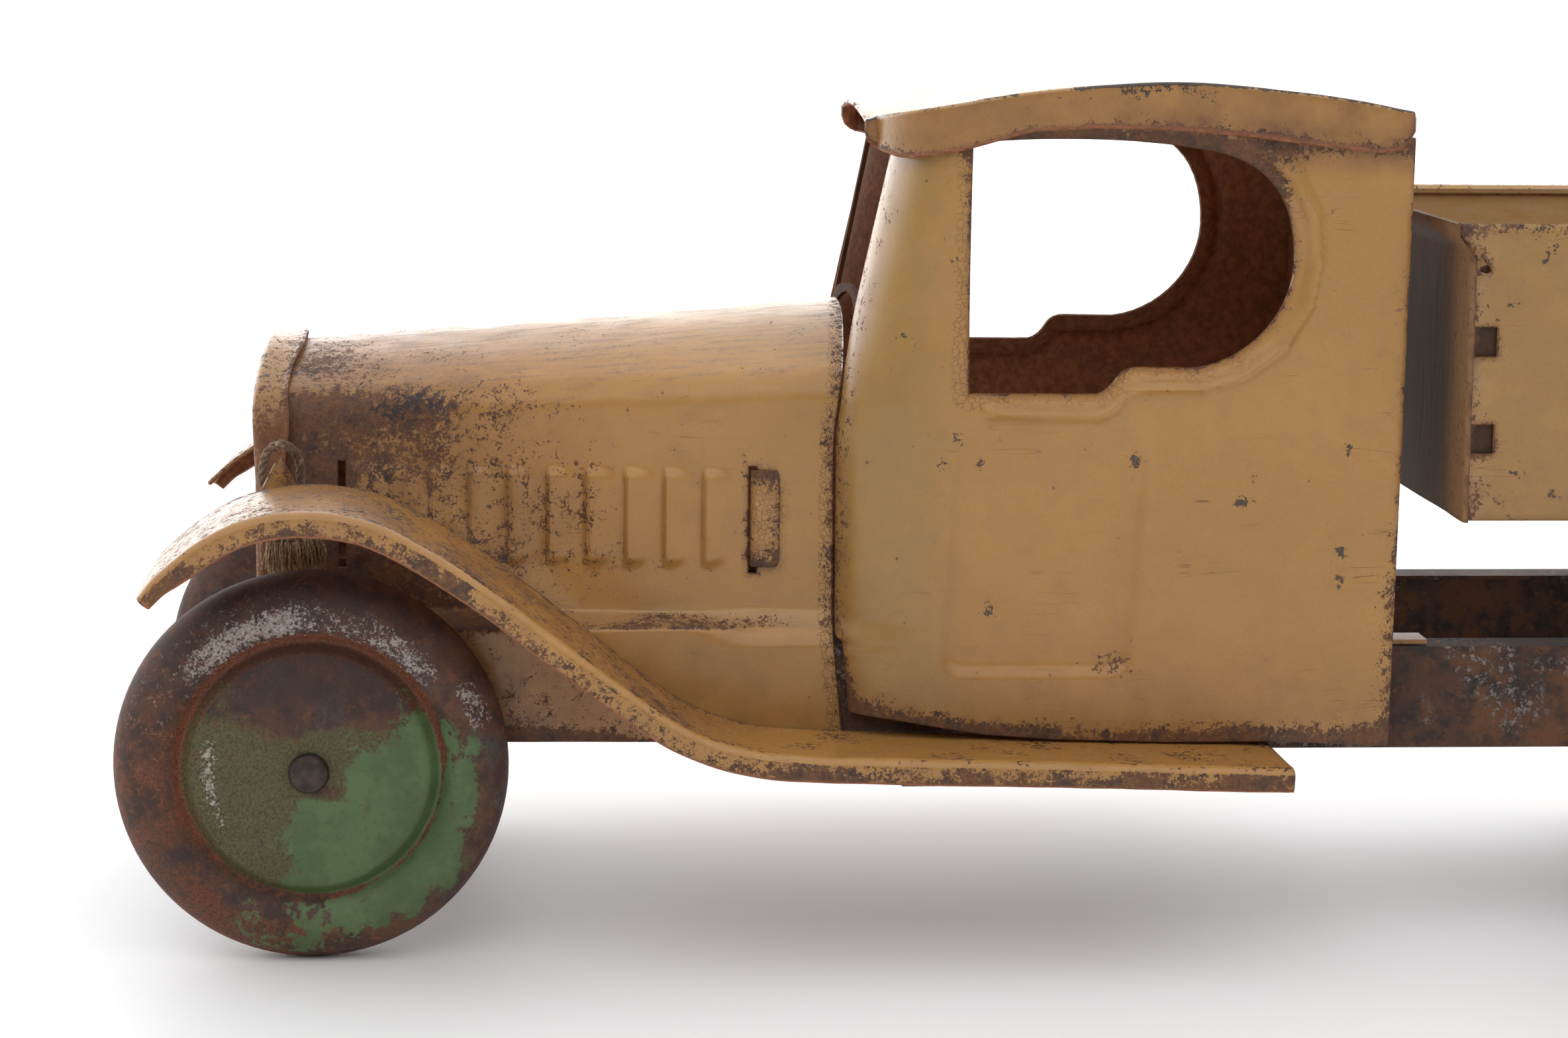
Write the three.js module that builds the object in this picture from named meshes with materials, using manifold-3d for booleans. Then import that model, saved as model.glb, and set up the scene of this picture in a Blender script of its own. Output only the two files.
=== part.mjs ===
// Pressed-steel push-along tipper truck, in millimetres.
// X runs from the nose to the tail, Y from the left side to the right, Z up.
// Inside the group X is counted from the front axle and Z from the floor; the group itself is then
// moved so that its origin is the middle of the footprint.
import * as THREE from 'three';
import { mergeVertices } from 'three/addons/utils/BufferGeometryUtils.js';
import Module from 'manifold-3d';

const wasm = await Module();
wasm.setup();

// Driving dimensions
const SHEET = 1.2;             // steel sheet
const GAP = 0.35;              // between pieces that touch
const WHEEL_RADIUS = 50.5;
const WHEEL_PLANE = 74;        // from the centre line to a wheel's widest circle
const REAR_AXLE_X = 425;
const AXLE_RADIUS = 3;
const RAIL = {
  front: -9, rear: 546, halfWidth: 61.6, bottom: 50.9, top: 78.1, flange: 12, lowerFlange: 8,
  shallowBottom: 54.2, shallowEnd: 128,
};
const HOOD = { front: -12, rear: 134.6, lowerHalfWidth: 63.1, bottom: 53.8, ledge: 83.2 };
const CAB = { halfWidth: 72.4, cornerEnd: 171, rear: 281.4, pillarHalfWidth: 47 };
const WINDSHIELD = { halfWidth: 42.5, sill: 167.5, top: 206, footX: 141 };
const FENDER = { outer: 104, inner: 63.6, rear: 249.2 };
const BED = { front: 294.8, rear: 556, halfWidth: 82.9, bottom: 114.6, top: 191.2 };
const SILL = { front: 335, rear: 541, offset: 39, width: 10, height: 8 };
const BED_REST = { front: 364, rear: 382 };
const TIP_PIVOT = { x: 528, z: 97 };
const TAILGATE_PIVOT = { x: 551.6, z: 183.5 };
const SIDES = { left: -1, right: 1 };

const PAINT = '#b08652';
const RUST = '#4c342a';
const BARE_STEEL = '#4d4a49';
const WHEEL_GREEN = '#5c8a55';
const ROPE_FIBRE = '#a58f70';

const truck = new THREE.Group();
const v2 = (x, y) => new THREE.Vector2(x, y);
const v3 = (x, y, z) => new THREE.Vector3(x, y, z);
const lerp = THREE.MathUtils.lerp;

function addMesh(name, geometry, color, roughness = 0.6, metalness = 0.3) {
  const material = new THREE.MeshStandardMaterial({ color, roughness, metalness });
  const mesh = new THREE.Mesh(geometry, material);
  mesh.name = name;
  truck.add(mesh);
  return mesh;
}

// Reads a height or width off a list of [position, value] pairs.
function along(pairs, at) {
  const last = pairs.length - 1;
  if (at <= pairs[0][0]) return pairs[0][1];
  if (at >= pairs[last][0]) return pairs[last][1];
  const next = pairs.findIndex((pair) => pair[0] >= at);
  const [x0, y0] = pairs[next - 1];
  const [x1, y1] = pairs[next];
  return lerp(y0, y1, (at - x0) / (x1 - x0));
}

// ---- solids from manifold-3d: joins and cuts only

function toSolid(geometry) {
  const clean = geometry.clone();
  clean.deleteAttribute('normal');
  clean.deleteAttribute('uv');
  const merged = mergeVertices(clean, 1e-4);
  return new wasm.Manifold(new wasm.Mesh({
    numProp: 3,
    vertProperties: new Float32Array(merged.attributes.position.array),
    triVerts: new Uint32Array(merged.index.array),
  }));
}

function toGeometry(solid) {
  const mesh = solid.getMesh();
  const geometry = new THREE.BufferGeometry();
  geometry.setAttribute('position', new THREE.BufferAttribute(new Float32Array(mesh.vertProperties), 3));
  geometry.setIndex(new THREE.BufferAttribute(new Uint32Array(mesh.triVerts), 1));
  geometry.computeVertexNormals();
  return geometry;
}

function combine(base, { add = [], cut = [] }) {
  let solid = toSolid(base);
  for (const piece of add) solid = solid.add(toSolid(piece));
  for (const piece of cut) solid = solid.subtract(toSolid(piece));
  return toGeometry(solid);
}

// ---- shared shapes

function box(from, to) {
  const size = to.map((value, i) => value - from[i]);
  const middle = to.map((value, i) => (value + from[i]) / 2);
  return new THREE.BoxGeometry(...size).translate(...middle);
}

// An outline in the XZ plane, swept along Y.
function sweepAlongY(points, from, to) {
  const shape = points instanceof THREE.Shape ? points : new THREE.Shape(points.map(([x, z]) => v2(x, z)));
  const settings = { depth: to - from, bevelEnabled: false, curveSegments: 6 };
  const geometry = new THREE.ExtrudeGeometry(shape, settings);
  return geometry.rotateX(Math.PI / 2).translate(0, to, 0);
}

// An outline in the YZ plane, swept along X.
function sweepAlongX(points, from, to) {
  const shape = new THREE.Shape(points.map(([y, z]) => v2(y, z)));
  const geometry = new THREE.ExtrudeGeometry(shape, { depth: to - from, bevelEnabled: false });
  const basis = new THREE.Matrix4().makeBasis(v3(0, 1, 0), v3(0, 0, 1), v3(1, 0, 0));
  return geometry.applyMatrix4(basis).translate(from, 0, 0);
}

function rodAlongY(radius, x, z, from, to, segments = 16) {
  return new THREE.CylinderGeometry(radius, radius, to - from, segments).translate(x, (from + to) / 2, z);
}

// Pressed sheet: pointAt(i, j) gives the outer face, and the metal lies behind it.
function sheet(columns, rows, pointAt, thickness = SHEET) {
  const outer = [];
  for (let i = 0; i <= columns; i++) {
    for (let j = 0; j <= rows; j++) outer.push(pointAt(i, j));
  }
  const at = (i, j) => i * (rows + 1) + j;
  const clamp = THREE.MathUtils.clamp;
  const inner = outer.map((point, k) => {
    const i = Math.floor(k / (rows + 1));
    const j = k % (rows + 1);
    const across = outer[at(clamp(i + 1, 0, columns), j)].clone().sub(outer[at(clamp(i - 1, 0, columns), j)]);
    const down = outer[at(i, clamp(j + 1, 0, rows))].clone().sub(outer[at(i, clamp(j - 1, 0, rows))]);
    const normal = across.cross(down).normalize();
    return point.clone().addScaledVector(normal, -thickness);
  });
  const count = outer.length;
  const index = [];
  const quad = (a, b, c, d) => index.push(a, b, c, a, c, d);
  for (let i = 0; i < columns; i++) {
    for (let j = 0; j < rows; j++) {
      quad(at(i, j), at(i + 1, j), at(i + 1, j + 1), at(i, j + 1));
      quad(count + at(i, j), count + at(i, j + 1), count + at(i + 1, j + 1), count + at(i + 1, j));
    }
  }
  const edge = (a, b) => quad(a, count + a, count + b, b);
  for (let i = 0; i < columns; i++) {
    edge(at(i, 0), at(i + 1, 0));
    edge(at(i + 1, rows), at(i, rows));
  }
  for (let j = 0; j < rows; j++) {
    edge(at(0, j + 1), at(0, j));
    edge(at(columns, j), at(columns, j + 1));
  }
  const geometry = new THREE.BufferGeometry();
  const positions = [...outer, ...inner].flatMap((point) => [point.x, point.y, point.z]);
  geometry.setAttribute('position', new THREE.Float32BufferAttribute(positions, 3));
  geometry.setIndex(index);
  geometry.computeVertexNormals();
  return geometry;
}

// The right-hand piece is the left-hand one in the mirror, with its faces turned back out.
function mirrored(geometry) {
  const copy = geometry.index ? geometry.toNonIndexed() : geometry.clone();
  const position = copy.attributes.position;
  for (let i = 0; i < position.count; i++) position.setY(i, -position.getY(i));
  for (let i = 0; i < position.count; i += 3) {
    const b = v3().fromBufferAttribute(position, i + 1);
    const c = v3().fromBufferAttribute(position, i + 2);
    position.setXYZ(i + 1, c.x, c.y, c.z);
    position.setXYZ(i + 2, b.x, b.y, b.z);
  }
  copy.deleteAttribute('normal');
  copy.deleteAttribute('uv');
  const merged = mergeVertices(copy, 1e-4);
  merged.computeVertexNormals();
  return merged;
}

function addPair(name, leftGeometry, color, roughness, metalness) {
  for (const side of Object.keys(SIDES)) {
    const geometry = side === 'left' ? leftGeometry : mirrored(leftGeometry);
    addMesh(`${name}_${side}`, geometry, color, roughness, metalness);
  }
}

// ---- chassis

// A channel along the truck, open towards the middle; it is shallower under the hood.
function railLength(from, to, bottom) {
  const { halfWidth, top, flange, lowerFlange } = RAIL;
  const profile = [
    [-halfWidth, bottom], [-halfWidth, top], [-halfWidth + flange, top], [-halfWidth + flange, top - SHEET],
    [-halfWidth + SHEET, top - SHEET], [-halfWidth + SHEET, bottom + SHEET],
    [-halfWidth + lowerFlange, bottom + SHEET], [-halfWidth + lowerFlange, bottom],
  ].reverse();
  return sweepAlongX(profile, from, to);
}

function chassisRail() {
  const { front, rear, halfWidth, bottom, lowerFlange, shallowBottom, shallowEnd } = RAIL;
  const overlap = 2;
  const notch = (x, base) => {
    return box([x - 4.5, -halfWidth - 2, base - 2], [x + 4.5, -halfWidth + lowerFlange + 2, base + 4]);
  };
  return combine(railLength(front, shallowEnd + overlap, shallowBottom), {
    add: [railLength(shallowEnd, rear, bottom)],
    cut: [notch(0, shallowBottom), notch(REAR_AXLE_X, bottom)],
  });
}

// A downward-opening channel between the rails.
function crossMember(x, length) {
  const top = RAIL.top - SHEET - GAP;
  const bottom = top - 18;
  const reach = RAIL.halfWidth - SHEET - GAP;
  const outline = [
    [x, bottom], [x, top], [x + length, top], [x + length, bottom], [x + length - SHEET, bottom],
    [x + length - SHEET, top - SHEET], [x + SHEET, top - SHEET], [x + SHEET, bottom],
  ].reverse();
  return sweepAlongY(outline, -reach, reach);
}

// The stand between the rails and the bed's sills, where the lowered bed rests.
function bedRest() {
  const base = RAIL.top + GAP;
  const top = BED.bottom - GAP - SILL.height - GAP;
  const outer = RAIL.halfWidth - 2;
  const inner = outer - SHEET;
  const outline = [
    [-outer, base], [-outer, top], [outer, top], [outer, base], [inner - 9, base], [inner - 9, base + SHEET],
    [inner, base + SHEET], [inner, top - SHEET], [-inner, top - SHEET], [-inner, base + SHEET],
    [-inner + 9, base + SHEET], [-inner + 9, base],
  ].reverse();
  return sweepAlongX(outline, BED_REST.front, BED_REST.rear);
}

function tipHingeBracket() {
  const base = RAIL.top + GAP;
  const plate = new THREE.Shape();
  plate.moveTo(TIP_PIVOT.x - 14, base);
  plate.lineTo(TIP_PIVOT.x + 14, base);
  plate.lineTo(TIP_PIVOT.x + 7, TIP_PIVOT.z);
  plate.absarc(TIP_PIVOT.x, TIP_PIVOT.z, 7, 0, Math.PI, false);
  plate.lineTo(TIP_PIVOT.x - 14, base);
  const upright = sweepAlongY(plate, -53, -53 + SHEET);
  const footLow = [TIP_PIVOT.x - 14, -RAIL.halfWidth + 1, base];
  const foot = box(footLow, [TIP_PIVOT.x + 14, -53 + SHEET, base + SHEET]);
  const hole = rodAlongY(AXLE_RADIUS + GAP, TIP_PIVOT.x, TIP_PIVOT.z, -60, -40);
  return combine(upright, { add: [foot], cut: [hole] });
}

function axleBracket(x) {
  const plate = new THREE.Shape();
  plate.moveTo(x - 13, 74);
  plate.lineTo(x - 6, WHEEL_RADIUS - 3);
  plate.absarc(x, WHEEL_RADIUS, 6, Math.PI, 2 * Math.PI, false);
  plate.lineTo(x + 13, 74);
  plate.lineTo(x - 13, 74);
  const y = -51.8;
  const foot = box([x - 13, -RAIL.halfWidth + SHEET + GAP, 74 - SHEET], [x + 13, y + SHEET, 74]);
  const hole = rodAlongY(AXLE_RADIUS + GAP, x, WHEEL_RADIUS, -60, -40);
  return combine(sweepAlongY(plate, y, y + SHEET), { add: [foot], cut: [hole] });
}

// ---- wheels

// [distance outward from the widest circle, radius]: rounded tyre, pressed groove and shallow dome.
const WHEEL_FACE = [
  [0, 50.5], [3.6, 49.6], [7.4, 46.4], [9.2, 42], [8.2, 37.4], [5, 33.6], [8, 30.4], [10.2, 18], [10.8, 3.5],
];
const WHEEL_BACK = [[0, 50.5], [3.8, 49.3], [7.6, 45], [9, 40], [9, 3.5]];
const WHEEL_SEGMENTS = 28;

// A closed outline of [radius, height] points, turned about the Y axis.
function turned(points, segments) {
  const loop = points.map(([radius, height]) => v2(radius, height));
  if (THREE.ShapeUtils.area(loop) < 0) loop.reverse();
  return new THREE.LatheGeometry([...loop, loop[0]], segments);
}

// A pressed disc whose outside points along -Y; flipped is +1 or -1 for the wheel's two halves.
function wheelDisc(face, flip) {
  const start = GAP / 2;
  const skin = face.map(([out, radius], i) => [radius, -flip * (i === 0 ? start : out)]);
  const behind = face.filter((point, i) => i === 0 || (i > 1 && i !== 4));
  const hollow = behind.map(([out, radius], i) => {
    if (i === 0) return [radius - SHEET, -flip * start];
    const tyre = radius > 40;
    return [tyre ? radius - SHEET : radius, -flip * (out - SHEET)];
  });
  return turned([...skin, ...hollow.reverse()], WHEEL_SEGMENTS);
}

function hubSleeve() {
  const bore = AXLE_RADIUS + GAP;
  const inner = WHEEL_BACK.at(-1)[0] - SHEET - GAP;
  const outer = WHEEL_FACE.at(-1)[0] - SHEET - GAP;
  return turned([[bore, inner], [bore + 2.4, inner], [bore + 2.4, -outer], [bore, -outer]], 16);
}

function axleRivet() {
  const start = -WHEEL_FACE.at(-1)[0] - GAP;
  const points = [[0, start], [5.2, start], [5.2, start - 1.2], [4, start - 2.1], [0, start - 2.5]];
  return turned(points, 12);
}

function addWheel(name, x, side) {
  const pieces = {
    disc_outer: [wheelDisc(WHEEL_FACE, 1), WHEEL_GREEN],
    disc_inner: [wheelDisc(WHEEL_BACK, -1), WHEEL_GREEN],
    hub: [hubSleeve(), BARE_STEEL],
    rivet: [axleRivet(), RUST],
  };
  for (const [piece, [geometry, color]] of Object.entries(pieces)) {
    const mesh = addMesh(`${name}_${piece}`, geometry, color, 0.7, 0.4);
    mesh.position.set(x, SIDES[side] * WHEEL_PLANE, WHEEL_RADIUS);
    mesh.rotation.z = side === 'right' ? Math.PI : 0;
  }
}

// ---- hood and radiator

// Half of the hood's section at a place along it: the foot, the ledge over the rail, the side,
// the shoulder and the crown.
function hoodHalf(x, grow = 0) {
  const t = (x - HOOD.front) / (HOOD.rear - HOOD.front);
  const side = lerp(41.5, 56.6, t) + grow;
  const crown = lerp(151.8, 163.9, t) + grow;
  const shoulderRadius = 10;
  const turnIn = side - shoulderRadius * 0.513;
  const shoulderTop = crown - lerp(8.6, 12.8, t);
  const low = HOOD.lowerHalfWidth + grow;
  const points = [
    [low, HOOD.bottom], [low, HOOD.ledge - 5], [low - 1.6, HOOD.ledge - 1.5],
    [lerp(low, side, 0.5), HOOD.ledge + 0.3], [side + 1.2, HOOD.ledge + 1.8], [side, HOOD.ledge + 5],
  ];
  for (const degrees of [2, 16, 30, 45, 61]) {
    const angle = THREE.MathUtils.degToRad(degrees);
    const centreZ = shoulderTop - shoulderRadius * Math.sin(THREE.MathUtils.degToRad(61));
    const y = side - shoulderRadius + shoulderRadius * Math.cos(angle);
    points.push([y, centreZ + shoulderRadius * Math.sin(angle)]);
  }
  for (const share of [0.72, 0.4, 0]) {
    points.push([turnIn * share, crown - (crown - shoulderTop) * share * share]);
  }
  return points;
}

function wholeSection(half) {
  const left = half.map(([y, z]) => [-y, z]);
  const right = half.slice(0, -1).reverse();
  return [...left, ...right];
}

function cowlFrontX(z) {
  const line = [[55, 137.9], [80, 135.4], [134, 135.4], [151, 137.7], [169.6, 141.4], [205.8, 149.4], [230, 154.2]];
  return along(line, z);
}

function hoodShell() {
  const stations = [HOOD.front, 40, 90, HOOD.rear];
  const sections = stations.map((x) => wholeSection(hoodHalf(x)));
  const rows = sections[0].length - 1;
  const shell = sheet(stations.length - 1, rows, (i, j) => {
    const [y, z] = sections[i][j];
    if (i === stations.length - 1) return v3(cowlFrontX(z) - GAP - 0.4, y, z);
    const behindRadiator = i === 0 && z < HOOD.ledge + 6;
    return v3(behindRadiator ? RADIATOR.sideRear + 0.6 : stations[i], y, z);
  });
  return combine(shell, { add: louvres(), cut: ventSlots() });
}

const RADIATOR = { front: -16.3, sideRear: -9.4, topRear: -4.8, bottom: 58, proud: 1.6 };
const LOUVRE = { first: 9.6, pitch: 10.2, count: 10, bottom: 98, height: 26.5, width: 8.2, rise: 1.5 };

function sideAt(x) {
  return hoodHalf(x)[5][0];
}

// Each louvre is a wedge, proud at its front edge.
function louvres() {
  const wedges = [];
  for (const side of Object.values(SIDES)) {
    for (let k = 0; k < LOUVRE.count; k++) {
      const x = LOUVRE.first + k * LOUVRE.pitch;
      const shape = new THREE.Shape([
        v2(x, sideAt(x) - 0.6), v2(x + 0.4, sideAt(x) + LOUVRE.rise),
        v2(x + LOUVRE.width, sideAt(x + LOUVRE.width) - 0.6),
      ].map((point) => v2(point.x, side * point.y)));
      const wedge = new THREE.ExtrudeGeometry(shape, { depth: LOUVRE.height, bevelEnabled: false });
      wedges.push(wedge.translate(0, 0, LOUVRE.bottom));
    }
  }
  return wedges;
}

// The slots that hold the hood's tabs, in front of and behind the louvres.
function ventSlots() {
  const slots = [];
  for (const x of [5.2, 112.6]) {
    slots.push(box([x, -70, 96.5], [x + 2.6, 70, 125.5]));
  }
  return slots;
}

// A tab folded back over the hood's side, behind its slot.
function hoodTab() {
  const y = sideAt(116) + GAP;
  const outline = [
    v2(113.4, -y + 2.4), v2(114.4, -y + 2.4), v2(114.4, -y - 0.2),
    v2(120.6, -y - 0.9), v2(120.6, -y - 2.1), v2(113.4, -y - 1.2),
  ];
  const tab = new THREE.ExtrudeGeometry(new THREE.Shape(outline), { depth: 25, bevelEnabled: false });
  return tab.translate(0, 0, 98.8);
}

function radiatorHalf() {
  const section = hoodHalf(HOOD.front, RADIATOR.proud);
  return [[section[5][0], RADIATOR.bottom], [section[5][0], 100], ...section.slice(6)];
}

function radiatorShell() {
  const section = wholeSection(radiatorHalf());
  const flangeDepth = 5;
  const centreZ = 105;
  return sheet(3, section.length - 1, (i, j) => {
    const [y, z] = section[j];
    const lean = along([[112, 0], [130, 0.45], [148, 0.5], [153, 1]], z);
    const rear = lerp(RADIATOR.sideRear, RADIATOR.topRear, lean);
    const front = RADIATOR.front + along([[120, 1.2], [139, 0.5], [147, 0.8], [154, 1.9]], z);
    if (i === 0) return v3(rear, y, z);
    if (i === 1) return v3(front + 1.5, y, z);
    const length = Math.hypot(y, z - centreZ);
    const inset = (i === 2 ? 1.1 : flangeDepth) / length;
    const shrunkZ = z > centreZ ? z - (z - centreZ) * inset : z;
    return v3(front, y - y * inset, shrunkZ);
  });
}

function radiatorGrille() {
  const highest = 143.4;
  const band = radiatorHalf().filter(([, z]) => z < highest + 3);
  const half = band.map(([y, z]) => [y - SHEET - 0.8, Math.min(z, highest)]);
  const outline = [...half.map(([y, z]) => [-y, z]), ...half.reverse()];
  const front = -13.2;
  const ribs = [];
  for (let y = -30; y <= 30; y += 7.5) ribs.push(box([front - 1, y - 1, 64], [front + 0.5, y + 1, 136]));
  return combine(sweepAlongX(outline.reverse(), front, front + 1), { add: ribs });
}

// ---- cab

const RIDGE = [
  [144, 215.2], [147.5, 216.9], [155, 218.6], [163, 220.1], [171.3, 221.6], [182, 223.3], [196.5, 224.9],
  [213.4, 226], [226, 226], [239.6, 225.1], [255.8, 223.5], [264.4, 222.2], [272.9, 220.6], [281.2, 218.7],
];
const FLANGE_BOTTOM = [
  [143.1, 212], [147.6, 206.3], [152, 206.1], [167, 209.1], [183, 213.4], [199.6, 214.6], [219.8, 214.1],
  [239.8, 212.7], [260, 210.3], [272.5, 208.7], [281.2, 214],
];

// Half-width of the cab's front edge: wide over the hood's ledge, then following its shoulder inwards.
function cowlHalfWidth(z) {
  const line = [[78, 64], [86, 57.6], [143, 57.6], [150, 54.4], [160, 49], [166, CAB.pillarHalfWidth + 0.4]];
  return along(line, z);
}

// The cab's lower edge dips from the cowl towards the running board; its upper edge arches under the roof.
const CAB_BOTTOM = [[135, 62.3], [152, 60.6], [173, 57.3], [191, 55.9], [223, 55], [252, 55.2], [282, 53.9]];
const CAB_TOP = [[160, 212], [171, 214], [184, 218], [246, 218], [262, 215], [274, 212.6], [282, 212]];

function cabSide() {
  const levels = [56, 66, 78, 86, 134, 143, 150, 160, 166, 180, 212];
  const turns = 7;
  const straight = [184, 225, 246, 262];
  const columns = turns + straight.length + 1;
  const last = levels.length - 1;
  const shell = sheet(columns, last, (i, j) => {
    const z = levels[j];
    const lift = (x) => {
      if (j === 0) return along(CAB_BOTTOM, x);
      return j === last ? along(CAB_TOP, x) : z;
    };
    const front = cowlFrontX(z);
    const narrow = cowlHalfWidth(z);
    if (i <= turns) {
      const angle = (i / turns) * Math.PI / 2;
      const x = CAB.cornerEnd - (CAB.cornerEnd - front) * Math.cos(angle);
      const y = narrow + (CAB.halfWidth - narrow) * Math.sin(angle);
      return v3(x, -y, lift(x));
    }
    const x = i === columns ? CAB.rear + (z - 150) * 0.012 : straight[i - turns - 1];
    return v3(x, -CAB.halfWidth, lift(x));
  });
  const opening = sweepAlongY(windowShape(), -90, -40);
  return combine(shell, { cut: [opening] });
}

// The side window: straight front and sill, a step, and a round back.
function windowShape() {
  const shape = new THREE.Shape();
  shape.moveTo(168, 210.8);
  shape.lineTo(168, 146);
  shape.lineTo(201.5, 145.8);
  shape.quadraticCurveTo(204.5, 146.5, 207, 150.6);
  shape.quadraticCurveTo(208.4, 152.8, 212, 152.8);
  shape.lineTo(226, 152.6);
  shape.bezierCurveTo(240, 154, 251.5, 166, 252, 180);
  shape.bezierCurveTo(252, 198, 244, 207.5, 226, 209.4);
  shape.quadraticCurveTo(205, 213, 168, 210.8);
  return shape;
}

function windshieldFrame() {
  const half = CAB.pillarHalfWidth - 0.2;
  const foot = 156.4;
  const head = 210.5;
  const outline = new THREE.Shape();
  outline.moveTo(-half, foot);
  outline.quadraticCurveTo(0, 174.6, half, foot);
  outline.lineTo(half, head);
  outline.lineTo(-half, head);
  outline.lineTo(-half, foot);
  const { halfWidth, sill, top } = WINDSHIELD;
  const opening = new THREE.Path();
  opening.moveTo(-halfWidth, sill - 4);
  opening.quadraticCurveTo(0, sill + 4, halfWidth, sill - 4);
  opening.lineTo(halfWidth, top);
  opening.lineTo(-halfWidth, top);
  opening.lineTo(-halfWidth, sill - 4);
  outline.holes.push(opening);
  const wall = new THREE.ExtrudeGeometry(outline, { depth: SHEET, bevelEnabled: false, curveSegments: 8 });
  const upright = new THREE.Matrix4().makeBasis(v3(0, 1, 0), v3(0, 0, 1), v3(1, 0, 0));
  wall.applyMatrix4(upright);
  const slope = 0.2;
  const lean = new THREE.Matrix4().makeShear(0, 0, 0, 0, slope, 0);
  return wall.applyMatrix4(lean).translate(WINDSHIELD.footX - slope * foot, 0, 0);
}

// The cab's back wall, with two tabs bent back onto the rails.
function cabRearWall() {
  const inside = CAB.halfWidth - SHEET - GAP;
  const base = RAIL.top + GAP;
  const wall = box([CAB.rear - 3.6, -inside, base], [CAB.rear - 3.6 + SHEET, inside, 212]);
  const tabs = Object.values(SIDES).map((side) => {
    const middle = side * 55;
    return box([CAB.rear - 3, middle - 5, base], [CAB.rear + 11, middle + 5, base + SHEET]);
  });
  return combine(wall, { add: tabs });
}

function roofHalfWidth(x) {
  const corner = { from: 146, to: 169, narrow: 50.5 };
  const t = THREE.MathUtils.clamp((corner.to - x) / (corner.to - corner.from), 0, 1);
  return corner.narrow + (CAB.halfWidth + 1.7 - corner.narrow) * Math.sqrt(1 - t * t);
}

function cabRoof() {
  const stations = [144, 146, 148.5, 153, 160, 172, 188, 204, 220, 240, 262, 281.2];
  const shares = [1, 0.996, 0.985, 0.85, 0.6, 0.3, 0];
  const bend = [0.9, 0.2, 0, 0, 0, 0, 0];
  const half = (x) => {
    const wide = roofHalfWidth(x);
    const ridge = along(RIDGE, x);
    const skirt = Math.min(along(FLANGE_BOTTOM, x), ridge - 3.4);
    const crown = along([[144, 2.4], [180, 1.6], [207, 0.9], [240, 0.4]], x);
    const top = shares.map((share, i) => [wide * share, ridge - bend[i] + crown * (1 - share * share)]);
    return [[wide, skirt], ...top];
  };
  const sections = stations.map((x) => wholeSection(half(x)));
  return sheet(stations.length - 1, sections[0].length - 1, (i, j) => v3(stations[i], ...sections[i][j]));
}

// ---- fenders with their running boards

const FENDER_RIDGE = [
  [-40.6, 98.9], [-36, 104.4], [-28, 111], [-18, 116.9], [-8, 119.7], [1.5, 120.4], [11, 119.3], [20, 116.6],
  [33, 109.6], [48, 99.6], [62, 89], [76, 78.6], [88, 69.8], [98, 64], [110, 60], [124, 58.2], [160, 57],
  [FENDER.rear, 54.6],
];

function fender() {
  const skirtDepth = (x) => along([[-40.6, 4], [-35, 5.4], [-30, 6.2], [100, 6.4], [FENDER.rear, 6.1]], x);
  const profile = [
    [FENDER.outer, -1], [FENDER.outer, -0.28], [FENDER.outer - 0.9, -0.05], [FENDER.outer - 3.4, 0.2],
    [FENDER.outer - 20, 0.8], [FENDER.inner, 1],
  ];
  return sheet(FENDER_RIDGE.length - 1, profile.length - 1, (i, j) => {
    const [x, ridge] = FENDER_RIDGE[i];
    const before = FENDER_RIDGE[Math.max(i - 1, 0)];
    const after = FENDER_RIDGE[Math.min(i + 1, FENDER_RIDGE.length - 1)];
    const slope = Math.atan2(after[1] - before[1], after[0] - before[0]);
    const [y, share] = profile[j];
    const crown = along([[60, 1.3], [110, -1], [124, -1.2]], x);
    const rise = share < 0 ? share * skirtDepth(x) : share * crown;
    return v3(x - rise * Math.sin(slope), -y, ridge + rise * Math.cos(slope));
  });
}

// A strap under the rail and the running board.
function runningBoardStrap() {
  const outline = [
    [-54, 49.3], [-98, 49.3], [-98, 52.6], [-96.8, 52.6], [-96.8, 50.5], [-54, 50.5],
  ];
  return sweepAlongX(outline.reverse(), 0, 14);
}

// The stay between the hood's side and the fender, with the pointed ear that a pull rope was tied to.
function fenderStay() {
  const earOutline = [[-13.5, 106], [-3.5, 106], [-3.5, 118.5], [-8.4, 128], [-13.5, 118.5]];
  const ear = sweepAlongY(earOutline, -58.8, -57.6);
  const foot = box([-13.5, -82, 114.2], [-3.5, -57.6, 114.2 + SHEET]);
  const leg = box([-9.8, -58.8, 106], [-7.2, -44.4, 106 + SHEET]);
  return combine(ear, { add: [foot, leg] });
}

// ---- tipping bed

function bedSide() {
  const { halfWidth, bottom, top } = BED;
  const profile = [
    [-halfWidth, bottom + 1.5], [-halfWidth, top], [-halfWidth + 2.6, top], [-halfWidth + 2.6, top - 3.4],
    [-halfWidth + SHEET, top - 3.4], [-halfWidth + SHEET, bottom + SHEET], [-70, bottom + SHEET], [-70, bottom],
    [-halfWidth + 1.5, bottom],
  ].reverse();
  const front = BED.front + SHEET + GAP;
  const notchHeights = [[132, 140], [156.9, 165.1]];
  const notches = notchHeights.map(([low, high]) => box([front - 1, -90, low], [302.6, -60, high]));
  const corner = sweepAlongY([[front - 1, 178], [front - 1, 184], [299.6, 180.2], [298.6, 178.6]], -90, -60);
  const pinHole = rodAlongY(2 + GAP, TAILGATE_PIVOT.x, TAILGATE_PIVOT.z, -90, -60, 12);
  return combine(sweepAlongX(profile, front, BED.rear), { cut: [...notches, corner, pinHole] });
}

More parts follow.
